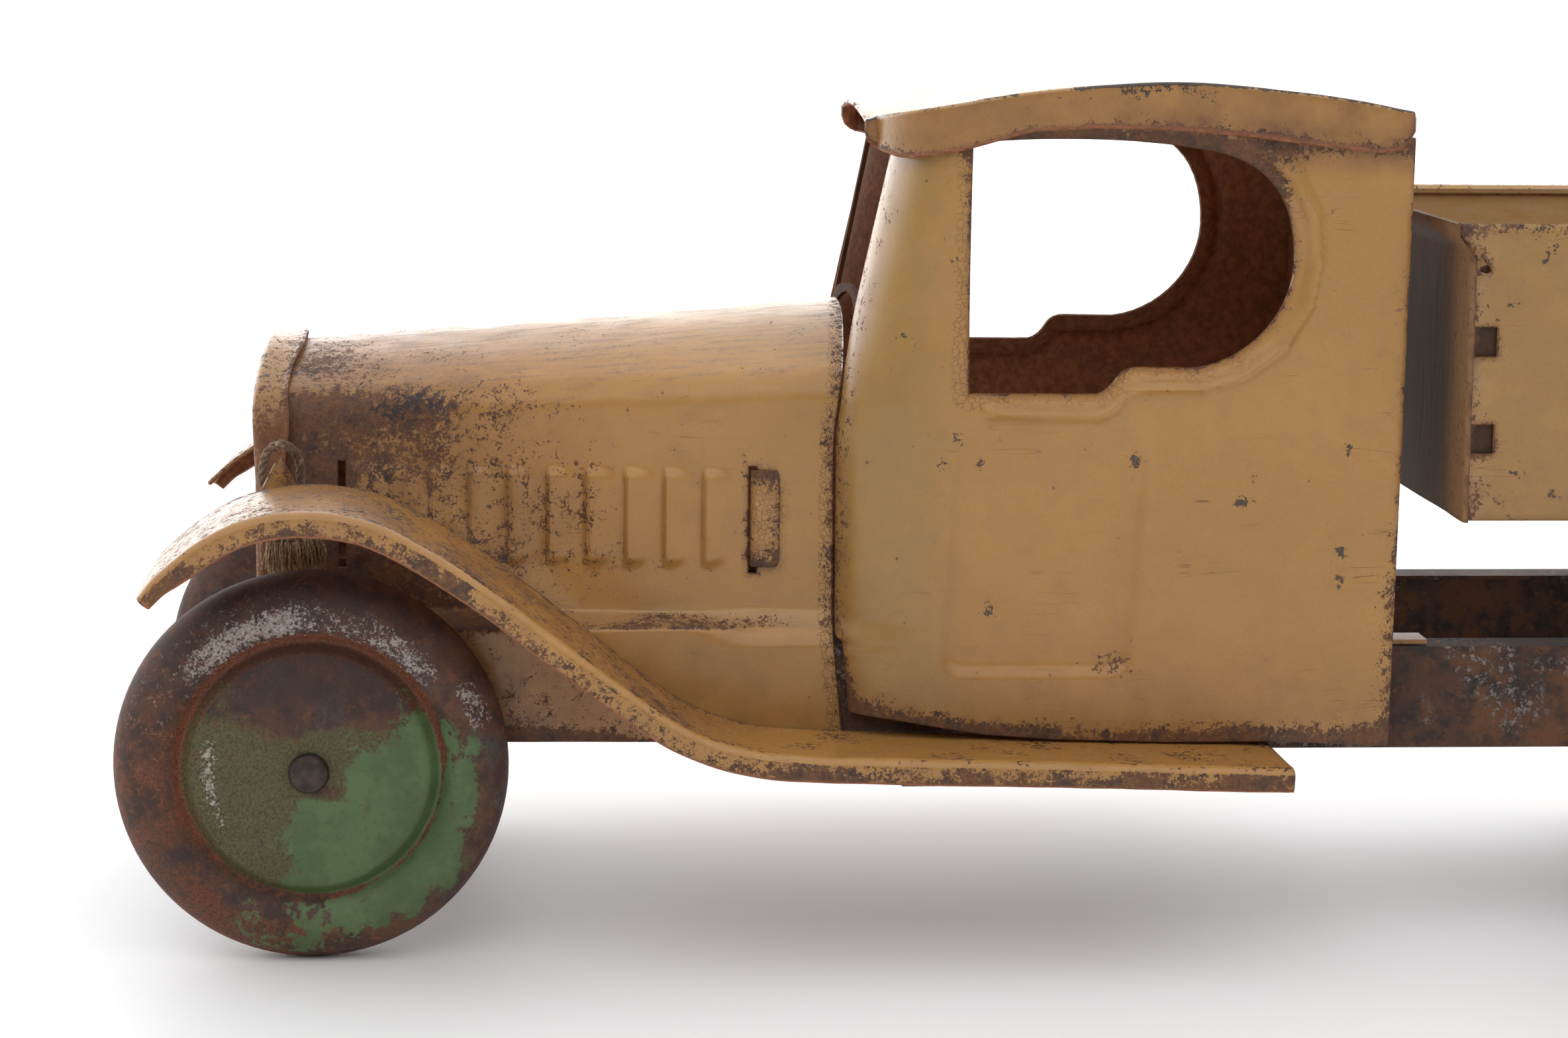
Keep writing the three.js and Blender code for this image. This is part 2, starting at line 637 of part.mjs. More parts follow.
function bedFrontWall() {
  const { front, halfWidth, bottom, top } = BED;
  const profile = [
    [front, bottom], [front, 184], [front - 3.6, 189], [front - 3.6, top], [front - 2.4, top],
    [front - 2.4, 189.5],
    [front + SHEET, 184.6], [front + SHEET, bottom],
  ].reverse();
  const inside = halfWidth - SHEET - GAP;
  const returns = Object.values(SIDES).map((side) => {
    const [near, far] = [side * inside, side * (inside - SHEET)].sort((a, b) => a - b);
    return box([front + 0.5, near, bottom + 4], [front + 11, far, 183]);
  });
  return combine(sweepAlongY(profile, -halfWidth, halfWidth), { add: returns });
}

function bedFloor() {
  const base = BED.bottom + SHEET + GAP;
  const reach = BED.halfWidth - SHEET * 2 - GAP * 2 - 0.2;
  return box([BED.front + SHEET + GAP, -reach, base], [TAILGATE_PIVOT.x + 1, reach, base + SHEET]);
}

function bedSill() {
  const top = BED.bottom - GAP;
  const { front, rear, offset, width, height } = SILL;
  const channel = [
    [-offset - width, top - height], [-offset - width, top], [-offset, top], [-offset, top - height],
    [-offset - SHEET, top - height], [-offset - SHEET, top - SHEET], [-offset - width + SHEET, top - SHEET],
    [-offset - width + SHEET, top - height],
  ].reverse();
  const ear = new THREE.Shape();
  ear.moveTo(TIP_PIVOT.x - 11, top - 2);
  ear.lineTo(TIP_PIVOT.x - 6, TIP_PIVOT.z - 2);
  ear.absarc(TIP_PIVOT.x, TIP_PIVOT.z, 6.5, Math.PI, 2 * Math.PI, false);
  ear.lineTo(TIP_PIVOT.x + 11, top - 2);
  ear.lineTo(TIP_PIVOT.x - 11, top - 2);
  const y = -offset - width;
  const hole = rodAlongY(AXLE_RADIUS + GAP, TIP_PIVOT.x, TIP_PIVOT.z, -60, -30);
  return combine(sweepAlongX(channel, front, rear), { add: [sweepAlongY(ear, y, y + SHEET)], cut: [hole] });
}

function tailgate() {
  const reach = BED.halfWidth - 3.4;
  const { x, z } = TAILGATE_PIVOT;
  const bore = 2 + GAP;
  const profile = new THREE.Shape();
  profile.moveTo(x + bore, 119);
  profile.lineTo(x + bore + SHEET, 119);
  profile.lineTo(x + bore + SHEET, z);
  profile.absarc(x, z, bore + SHEET, 0, Math.PI * 1.5, false);
  profile.lineTo(x, z - bore);
  profile.absarc(x, z, bore, Math.PI * 1.5, 0, true);
  profile.lineTo(x + bore, 119);
  return sweepAlongY(profile, -reach, reach);
}

// ---- assembly

const inMetal = (name, geometry, color) => addMesh(name, geometry, color, 0.75, 0.5);

addPair('chassis_rail', chassisRail(), RUST, 0.75, 0.5);
inMetal('front_crossmember', crossMember(16, 22), RUST);
inMetal('middle_crossmember', crossMember(196, 24), RUST);
inMetal('rear_crossmember', crossMember(516, 26), RUST);
inMetal('bed_rest', bedRest(), RUST);
addPair('tip_hinge_bracket', tipHingeBracket(), RUST, 0.75, 0.5);
inMetal('tip_hinge_rod', rodAlongY(AXLE_RADIUS, TIP_PIVOT.x, TIP_PIVOT.z, -56, 56), BARE_STEEL);
for (const [end, x] of [['front', 0], ['rear', REAR_AXLE_X]]) {
  addPair(`${end}_axle_bracket`, axleBracket(x), RUST, 0.75, 0.5);
  const reach = WHEEL_PLANE + WHEEL_FACE.at(-1)[0];
  inMetal(`${end}_axle`, rodAlongY(AXLE_RADIUS, x, WHEEL_RADIUS, -reach, reach), BARE_STEEL);
  for (const side of Object.keys(SIDES)) addWheel(`${end}_${side}_wheel`, x, side);
}
addMesh('hood_shell', hoodShell(), PAINT);
addPair('hood_tab', hoodTab(), PAINT);
addMesh('radiator_shell', radiatorShell(), PAINT);
addMesh('radiator_grille', radiatorGrille(), RUST);
addPair('cab_side', cabSide(), PAINT);
addMesh('windshield_frame', windshieldFrame(), PAINT);
addMesh('cab_rear_wall', cabRearWall(), PAINT);
addMesh('cab_roof', cabRoof(), PAINT);
addPair('fender', fender(), PAINT);
addPair('fender_stay', fenderStay(), PAINT);
for (const [place, x] of [['front', 150], ['rear', 228]]) {
  addPair(`board_strap_${place}`, runningBoardStrap().translate(x, 0, 0), RUST, 0.75, 0.5);
}
addPair('bed_side', bedSide(), PAINT);
addMesh('bed_front_wall', bedFrontWall(), BARE_STEEL);
addMesh('bed_floor', bedFloor(), RUST);
addPair('bed_sill', bedSill(), RUST, 0.75, 0.5);
addMesh('tailgate', tailgate(), PAINT);
inMetal('tailgate_rod', rodAlongY(2, TAILGATE_PIVOT.x, TAILGATE_PIVOT.z, -85, 85, 12), BARE_STEEL);

// A remnant of rope tucked behind the left stay, looped over its ear and hanging frayed behind the fender.
const ROPE_ROUTE = [
  [-12.6, -56, 116], [-12.9, -55.9, 119.6], [-13, -55.9, 123.2], [-12.7, -55.9, 126.6], [-11, -55.9, 129.6],
  [-8.3, -55.9, 130.9], [-5.5, -55.9, 129.7], [-3.7, -55.9, 126.8], [-3.3, -55.9, 123], [-3.4, -55.9, 119],
  [-3.5, -55.9, 115], [-3.6, -55.9, 111], [-3.7, -55.9, 107], [-3.9, -56.1, 103.6], [-4.2, -56.4, 100.5],
];
const ROPE_DIAMETER = 2.2;

function pullRope() {
  const route = new THREE.CatmullRomCurve3(ROPE_ROUTE.map((point) => v3(...point)));
  const circle = new THREE.Path().absarc(0, 0, ROPE_DIAMETER / 2, 0, 2 * Math.PI);
  const section = new THREE.Shape(circle.getPoints(4).slice(0, -1));
  return new THREE.ExtrudeGeometry(section, { extrudePath: route, steps: 22, bevelEnabled: false });
}
addMesh('pull_rope', pullRope(), ROPE_FIBRE, 0.9, 0);

// The origin goes to the middle of the footprint, on the floor.
const extent = new THREE.Box3().setFromObject(truck);
truck.position.set(-(extent.min.x + extent.max.x) / 2, 0, 0);
truck.updateMatrixWorld(true);

export default truck;
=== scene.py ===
"""Looks of a pressed-steel push-along tipper truck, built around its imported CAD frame.

Shapes are worked out in millimetres from the front axle and the floor, then moved into the row frame.
X runs from the nose to the tail, Y from the left side to the right, Z up.
"""
import math

import bpy
import numpy as np
from mathutils import Matrix, Vector
from mathutils.geometry import delaunay_2d_cdt
from mathutils.kdtree import KDTree


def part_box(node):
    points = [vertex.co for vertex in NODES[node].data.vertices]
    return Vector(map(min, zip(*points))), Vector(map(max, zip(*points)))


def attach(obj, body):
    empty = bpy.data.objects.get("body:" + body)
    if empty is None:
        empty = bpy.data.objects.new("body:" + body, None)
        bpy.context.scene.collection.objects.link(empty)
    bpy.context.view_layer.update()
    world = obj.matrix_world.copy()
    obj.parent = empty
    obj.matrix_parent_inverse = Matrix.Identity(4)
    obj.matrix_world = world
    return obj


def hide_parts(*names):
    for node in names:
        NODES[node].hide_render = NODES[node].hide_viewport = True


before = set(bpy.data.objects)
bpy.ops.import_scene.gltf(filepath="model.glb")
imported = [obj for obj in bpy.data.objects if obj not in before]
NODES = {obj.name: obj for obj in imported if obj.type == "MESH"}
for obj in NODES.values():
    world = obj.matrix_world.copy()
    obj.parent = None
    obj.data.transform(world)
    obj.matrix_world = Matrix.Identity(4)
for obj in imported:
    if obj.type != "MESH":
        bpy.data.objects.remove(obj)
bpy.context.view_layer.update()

MM = 0.001
AXLE_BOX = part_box("front_axle")
ORIGIN_X = (AXLE_BOX[0].x + AXLE_BOX[1].x) / 2
AXLE_Z = (AXLE_BOX[0].z + AXLE_BOX[1].z) / 2 / MM
REAR_AXLE_X = ((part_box("rear_axle")[0].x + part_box("rear_axle")[1].x) / 2 - ORIGIN_X) / MM
SHEET = 1.2
SIDES = ((-1, "left"), (1, "right"))


def row(points):
    """Truck millimetres to row-frame metres."""
    out = np.array(points, float) * MM
    out[..., 0] += ORIGIN_X
    return out


# ---- small maths

def along(pairs, at):
    """The value at a place, on a line through (place, value) pairs."""
    pairs = np.array(pairs, float)
    return np.interp(at, pairs[:, 0], pairs[:, 1])


def smooth(value, low, high):
    """0 below low, 1 above high."""
    t = np.clip((np.asarray(value, float) - low) / (high - low), 0, 1)
    return t * t * (3 - 2 * t)


def fall(value, low, high):
    """1 below low, 0 above high."""
    return 1 - smooth(value, low, high)


def bell(value, centre, width):
    """1 at the centre, falling off to each side."""
    return np.exp(-((value - centre) / width) ** 2)


def lerp(a, b, t):
    return a + (b - a) * t


def unit(vectors):
    return vectors / np.maximum(np.linalg.norm(vectors, axis=-1, keepdims=True), 1e-12)


def ripple(points, size, seed, waves=7):
    """Gentle unevenness of about -1 to 1, with features of that size in millimetres."""
    rng = np.random.default_rng(seed)
    total = np.zeros(np.shape(points)[:-1])
    for _ in range(waves):
        direction = unit(rng.normal(size=3))
        reach = size * rng.uniform(0.7, 1.5)
        total += np.sin(points @ direction * (2 * math.pi / reach) + rng.uniform(0, 6.28))
    return total / math.sqrt(waves * 2)


def patches(points, size, seed, low, high):
    """Soft-edged patches, 0 where the ripple is below low and 1 where it is above high."""
    return smooth(ripple(points, size, seed), low, high)


def blob(points, centre, radius):
    """1 at the centre, falling off with distance; the radius is given for X, Y and Z."""
    away = (points - np.array(centre, float)) / np.array(radius, float)
    return np.exp(-(away ** 2).sum(-1))


# ---- meshes

def make_object(name, points, face_sets, smooth_angle=42):
    """A mesh object from points in truck millimetres."""
    face_sets = [np.asarray(f, np.int32) for f in face_sets if len(f)]
    mesh = bpy.data.meshes.new(name)
    mesh.vertices.add(len(points))
    mesh.vertices.foreach_set("co", row(points).astype(np.float32).ravel())
    corners = np.concatenate([f.ravel() for f in face_sets])
    counts = np.concatenate([np.full(len(f), f.shape[1], np.int32) for f in face_sets])
    starts = np.concatenate([[0], np.cumsum(counts)[:-1]]).astype(np.int32)
    mesh.loops.add(len(corners))
    mesh.loops.foreach_set("vertex_index", corners)
    mesh.polygons.add(len(counts))
    mesh.polygons.foreach_set("loop_start", starts)
    mesh.update(calc_edges=True)
    mesh.polygons.foreach_set("use_smooth", np.ones(len(counts), bool))
    mesh.set_sharp_from_angle(angle=math.radians(smooth_angle))
    made = bpy.data.objects.new(name, mesh)
    bpy.context.scene.collection.objects.link(made)
    return made


def vertex_normals(points, faces):
    a, b, c = points[faces[:, 0]], points[faces[:, 1]], points[faces[:, -1]]
    facing = np.cross(b - a, c - a)
    total = np.zeros_like(points)
    for k in range(faces.shape[1]):
        np.add.at(total, faces[:, k], facing)
    return unit(total)


class Solid:
    """A closed mesh being put together, with each point's distance from the sheet's free edge."""

    def __init__(self):
        self.points, self.faces, self.edge, self.count = [], [], [], 0

    def add(self, points, face_sets, edge=99.0):
        self.points.append(points)
        self.edge.append(np.broadcast_to(edge, len(points)).astype(float))
        self.faces += [np.asarray(f) + self.count for f in face_sets]
        self.count += len(points)

    def add_sheet(self, points, faces, thickness=SHEET, rounding=0.3):
        """Pressed sheet: points and faces are the outer face, the metal lies behind it."""
        n = len(points)
        normals = vertex_normals(points, faces)
        width = faces.shape[1]
        edges = np.concatenate([faces[:, [k, (k + 1) % width]] for k in range(width)])
        free = ~np.isin(edges[:, 0] * n + edges[:, 1], edges[:, 1] * n + edges[:, 0])
        a, b = edges[free].T
        tangent = unit(points[b] - points[a])
        outward = np.zeros_like(points)
        np.add.at(outward, a, np.cross(tangent, normals[a]))
        np.add.at(outward, b, np.cross(tangent, normals[b]))
        rim = np.unique(a)
        place = np.zeros(n, int)
        place[rim] = np.arange(len(rim)) + 2 * n
        inner = points - normals * thickness
        middle = (points[rim] + inner[rim]) / 2 + unit(outward[rim]) * thickness * rounding
        pa, pb = place[a], place[b]
        sides = np.concatenate([np.stack([b, a, pa, pb], 1), np.stack([pb, pa, n + a, n + b], 1)])
        tree = KDTree(len(rim))
        for k, point in enumerate(points[rim]):
            tree.insert(point, k)
        tree.balance()
        distance = np.array([tree.find(p)[2] for p in points])
        self.add(
            np.concatenate([points, inner, middle]),
            [faces, faces[:, ::-1] + n, sides],
            np.concatenate([distance, distance, np.zeros(len(rim))]),
        )

    def build(self, name, smooth_angle=42):
        made = make_object(name, np.concatenate(self.points), self.faces, smooth_angle)
        put(made, "edge", np.concatenate(self.edge))
        return made


def put(made, name, values):
    layer = made.data.attributes.get(name) or made.data.attributes.new(name, "FLOAT", "POINT")
    values = np.broadcast_to(values, len(made.data.vertices)).astype(np.float32)
    layer.data.foreach_set("value", values)


def places(made):
    """The piece's points in truck millimetres, and its normals."""
    points = np.zeros(len(made.data.vertices) * 3, np.float32)
    normals = np.zeros_like(points)
    made.data.vertices.foreach_get("co", points)
    made.data.vertices.foreach_get("normal", normals)
    points = points.reshape(-1, 3).astype(float)
    points[:, 0] -= ORIGIN_X
    return points / MM, normals.reshape(-1, 3).astype(float)


def grid_faces(columns, rows, keep=None):
    i, j = np.meshgrid(np.arange(columns - 1), np.arange(rows - 1), indexing="ij")
    if keep is not None:
        i, j = i[keep], j[keep]
    i, j = i.ravel(), j.ravel()
    return np.stack([i * rows + j, (i + 1) * rows + j, (i + 1) * rows + j + 1, i * rows + j + 1], 1)


def inside(points, outline):
    """Which 2D points lie inside a closed outline."""
    x, y = points.T
    result = np.zeros(len(points), bool)
    for (x0, y0), (x1, y1) in zip(outline, np.roll(outline, -1, axis=0)):
        if y0 == y1:
            continue
        crosses = (y0 > y) != (y1 > y)
        result ^= crosses & (x < (x1 - x0) * (y - y0) / (y1 - y0) + x0)
    return result


def resampled(outline, spacing):
    """The closed outline again, with its corners and points no further apart than spacing."""
    out = []
    for start, end in zip(outline, np.roll(outline, -1, axis=0)):
        steps = max(1, round(float(np.linalg.norm(end - start)) / spacing))
        out += [start + (end - start) * k / steps for k in range(steps)]
    return np.array(out)


def flat_panel(outline, holes=(), spacing=1.5):
    """Even triangles inside a flat outline, round any holes. Returns 2D points and triangles."""
    rings = [resampled(np.array(ring, float), spacing) for ring in (outline, *holes)]
    low, high = rings[0].min(0), rings[0].max(0)
    xs = np.arange(low[0], high[0], spacing)
    ys = np.arange(low[1], high[1], spacing * 0.87)
    grid = np.stack(np.meshgrid(xs, ys, indexing="ij"), -1)
    grid[:, 1::2, 0] += spacing / 2
    grid = grid.reshape(-1, 2)
    keep = inside(grid, rings[0])
    for ring in rings[1:]:
        keep &= ~inside(grid, ring)
    grid = grid[keep]
    tree = KDTree(sum(map(len, rings)))
    for k, (x, y) in enumerate(np.concatenate(rings)):
        tree.insert((x, y, 0), k)
    tree.balance()
    grid = grid[[tree.find((x, y, 0))[2] > spacing * 0.6 for x, y in grid]]
    links, start = [], 0
    for ring in rings:
        n = len(ring)
        links += [(start + k, start + (k + 1) % n) for k in range(n)]
        start += n
    flat = [Vector(p) for p in np.concatenate([*rings, grid])]
    points, _, faces, *_ = delaunay_2d_cdt(flat, links, [], 0, 1e-6)
    points, faces = np.array(points), np.array(faces)
    centres = points[faces].mean(1)
    keep = inside(centres, rings[0])
    for ring in rings[1:]:
        keep &= ~inside(centres, ring)
    return points, faces[keep]


def arc(centre, radius, start, end, count):
    angles = np.radians(np.linspace(start, end, count))
    return np.stack([centre[0] + radius * np.cos(angles), centre[1] + radius * np.sin(angles)], 1)


def on_side(points, faces, side):
    """A sheet built on the left side, moved to the right one where side is 1."""
    if side < 0:
        return points, faces
    return points * np.array([1, -1, 1]), faces[:, ::-1]


def lathe(profile, segments, centre, side=-1.0):
    """A closed outline of (radius, outward) turned about the wheel's Y axis; outward is off the truck."""
    angles = np.linspace(0, 2 * math.pi, segments, endpoint=False)
    radius, out = np.array(profile, float).T
    x = radius[None, :] * np.cos(angles)[:, None]
    z = radius[None, :] * np.sin(angles)[:, None]
    y = np.broadcast_to(out * side, x.shape)
    points = np.stack([x, y, z], -1).reshape(-1, 3) + np.array(centre, float)
    n = len(profile)
    i, j = (k.ravel() for k in np.meshgrid(np.arange(segments), np.arange(n), indexing="ij"))
    i2, j2 = (i + 1) % segments, (j + 1) % n
    faces = np.stack([i * n + j, i * n + j2, i2 * n + j2, i2 * n + j], 1)
    return points, faces if side < 0 else faces[:, ::-1]


def spline(points, count):
    """Catmull-Rom through the points."""
    points = np.array(points, float)
    padded = np.concatenate([[2 * points[0] - points[1]], points, [2 * points[-1] - points[-2]]])
    at = np.linspace(0, len(points) - 1, count)
    k = np.minimum(at.astype(int), len(points) - 2)
    t = (at - k)[:, None]
    p0, p1, p2, p3 = (padded[k + step] for step in range(4))
    return 0.5 * (
        2 * p1 + (p2 - p0) * t + (2 * p0 - 5 * p1 + 4 * p2 - p3) * t ** 2
        + (3 * p1 - p0 - 3 * p2 + p3) * t ** 3
    )


def run_along(line):
    """Distance of each point from the line's start, along it."""
    return np.concatenate([[0], np.cumsum(np.linalg.norm(np.diff(line, axis=0), axis=1))])


def tube(line, radius, sides):
    """A closed tube round a line; radius may be one number or one for each point."""
    line = np.array(line, float)
    radius = np.broadcast_to(radius, len(line))
    tangent = unit(np.gradient(line, axis=0))
    across = np.cross(tangent[0], [0.31, 0.94, 0.17])
    frames = []
    for t in tangent:
        across = unit(across - t * (across @ t))
        frames.append((across, np.cross(t, across)))
    angles = np.linspace(0, 2 * math.pi, sides, endpoint=False)
    rings = []
    for p, r, (u, v) in zip(line, radius, frames):
        rings.append(p + r * (np.cos(angles)[:, None] * u + np.sin(angles)[:, None] * v))
    points = np.concatenate(rings)
    n = len(line)
    i, j = (k.ravel() for k in np.meshgrid(np.arange(n - 1), np.arange(sides), indexing="ij"))
    j2 = (j + 1) % sides
    walls = np.stack([i * sides + j, i * sides + j2, (i + 1) * sides + j2, (i + 1) * sides + j], 1)
    caps = np.concatenate([points, line[:1], line[-1:]])
    k = np.arange(sides)
    k2 = (k + 1) % sides
    first = np.stack([k2, k, np.full(sides, len(points))], 1)
    last = np.stack([(n - 1) * sides + k, (n - 1) * sides + k2, np.full(sides, len(points) + 1)], 1)
    return caps, [walls, np.concatenate([first, last])]


# ---- camera

CAMERA_AT = np.array([62.97, -1006.96, 257.77])
CAMERA_YAW, CAMERA_PITCH, CAMERA_ROLL = -0.0621, 0.1525, 0.0091
camera = bpy.data.objects.new("camera", bpy.data.cameras.new("camera"))
camera.data.lens = 84.72
camera.data.sensor_width = 36
camera.data.clip_end = 60
forward = Vector((
    -math.sin(CAMERA_YAW) * math.cos(CAMERA_PITCH), math.cos(CAMERA_YAW) * math.cos(CAMERA_PITCH),
    -math.sin(CAMERA_PITCH),
))
level = Vector((math.cos(CAMERA_YAW), math.sin(CAMERA_YAW), 0))
above = level.cross(forward)
right = level * math.cos(CAMERA_ROLL) + above * math.sin(CAMERA_ROLL)
above = above * math.cos(CAMERA_ROLL) - level * math.sin(CAMERA_ROLL)
camera.matrix_world = Matrix.Translation(row(CAMERA_AT)) @ Matrix(
    (right, above, -forward)
).transposed().to_4x4()
bpy.context.scene.collection.objects.link(camera)
bpy.context.scene.camera = camera


# ---- materials

def srgb(red, green, blue):
    def linear(value):
        value /= 255
        return value / 12.92 if value <= 0.04045 else ((value + 0.055) / 1.055) ** 2.4
    return (linear(red), linear(green), linear(blue), 1)


class Signal:
    """A number flowing between shader nodes. Its sums, differences and products make Math nodes."""

    def __init__(self, shader, socket):
        self.shader = shader
        self.socket = socket

    def __add__(self, other):
        return self.shader.maths("ADD", self, other)

    def __sub__(self, other):
        return self.shader.maths("SUBTRACT", self, other)

    def __mul__(self, other):
        return self.shader.maths("MULTIPLY", self, other)


class Shader:
    """A material being wired up, with the colour laid down so far. Sizes are in millimetres."""

    def __init__(self, name):
        self.material = bpy.data.materials.new(name)
        self.material.use_nodes = True
        self.tree = self.material.node_tree
        self.tree.nodes.clear()
        self.surface = self.tree.nodes.new("ShaderNodeBsdfPrincipled")
        output = self.tree.nodes.new("ShaderNodeOutputMaterial")
        self.tree.links.new(self.surface.outputs[0], output.inputs["Surface"])
        self.place = self.tree.nodes.new("ShaderNodeTexCoord").outputs["Object"]
        self.attributes = {}
        self.colour = None

    def feed(self, socket, value):
        if isinstance(value, Signal):
            value = value.socket
        if isinstance(value, bpy.types.NodeSocket):
            self.tree.links.new(value, socket)
        else:
            socket.default_value = value

    def node(self, kind, inputs, **settings):
        made = self.tree.nodes.new(kind)
        for key, value in settings.items():
            setattr(made, key, value)
        for key, value in inputs.items():
            self.feed(made.inputs[key], value)
        return made

    def signal(self, kind, inputs, output=0, **settings):
        return Signal(self, self.node(kind, inputs, **settings).outputs[output])

    def wear(self, name):
        """An attribute that the piece's points carry."""
        if name not in self.attributes:
            self.attributes[name] = self.signal("ShaderNodeAttribute", {}, "Fac", attribute_name=name)
        return self.attributes[name]

    def stretched(self, x=1.0, y=1.0, z=1.0, turn=(0, 0, 0), shift=(0, 0, 0)):
        inputs = {"Vector": self.place, "Scale": (1 / x, 1 / y, 1 / z), "Rotation": turn, "Location": shift}
        return self.node("ShaderNodeMapping", inputs).outputs["Vector"]

    def noise(self, size, detail=3.0, rough=0.55, warp=0.0, place=None):
        inputs = {
            "Vector": place or self.place, "Scale": 1 / (size * MM), "Detail": detail, "Roughness": rough,
            "Distortion": warp
        }
        return self.signal("ShaderNodeTexNoise", inputs, "Fac")

    def maths(self, operation, a, b=0.5, clamp=False):
        return self.signal("ShaderNodeMath", {0: a, 1: b}, operation=operation, use_clamp=clamp)

    def capped(self, a, b):
        """A product held between 0 and 1."""
        return self.maths("MULTIPLY", a, b, clamp=True)

    def step(self, value, low, high):
        """0 below low, 1 above high, smooth between; high may be below low."""
        inputs = {"Value": value, "From Min": low, "From Max": high, "To Min": 0.0, "To Max": 1.0}
        return self.signal("ShaderNodeMapRange", inputs, "Result", interpolation_type="SMOOTHSTEP")

    def between(self, value, low, high):
        """A straight-line change from low to high as value goes from 0 to 1."""
        inputs = {"Value": value, "From Min": 0.0, "From Max": 1.0, "To Min": low, "To Max": high}
        return self.signal("ShaderNodeMapRange", inputs, "Result")

    def mix(self, factor, a, b):
        made = self.tree.nodes.new("ShaderNodeMix")
        made.data_type = "RGBA"
        self.feed(made.inputs["Factor"], factor)
        colours = [s for s in made.inputs if s.type == "RGBA"]
        self.feed(colours[0], a)
        self.feed(colours[1], b)
        return next(s for s in made.outputs if s.type == "RGBA")

    def mottled(self, value, low, high, first, second):
        """Two colours, the second where the value is high."""
        return self.mix(self.step(value, low, high), srgb(*first), srgb(*second))

    def coat(self, amount, top):
        """Lays a colour over the one so far."""
        self.colour = self.mix(amount, self.colour, srgb(*top) if isinstance(top, tuple) else top)

    def shade(self, colour, amount):
        """Colour times a brightness."""
        grey = self.node("ShaderNodeCombineXYZ", {0: amount, 1: amount, 2: amount}).outputs[0]
        return self.node("ShaderNodeVectorMath", {0: colour, 1: grey}, operation="MULTIPLY").outputs[0]

    def finish(self, roughness, height, depth, **constants):
        """Wires the colour, roughness and bump to the surface; depth is the bump's height."""
        self.feed(self.surface.inputs["Base Color"], self.colour)
        self.feed(self.surface.inputs["Roughness"], roughness)
        for key, value in constants.items():
            self.surface.inputs[key.replace("_", " ")].default_value = value
        bump = self.node("ShaderNodeBump", {"Height": height, "Strength": 1.0, "Distance": depth * MM})
        self.tree.links.new(bump.outputs[0], self.surface.inputs["Normal"])
        return self.material

    def speckle(self, texture, amount, width=0.03):
        """Where texture, centred on a half, exceeds a threshold that falls as amount rises from 0 to 1."""
        threshold = self.between(amount, 0.76, 0.26)
        return self.step(texture - threshold, -width * 0.4, width)

    def rust_colours(self):
        cloud, fine = self.noise(6, 5, 0.68), self.step(self.noise(0.9, 4, 0.7), 0.3, 0.7)
        dark = self.mix(fine, srgb(46, 32, 32), srgb(76, 55, 49))
        warm = self.mix(fine, srgb(78, 48, 34), srgb(114, 74, 48))
        return self.mix(self.step(cloud, 0.36, 0.6), dark, warm)


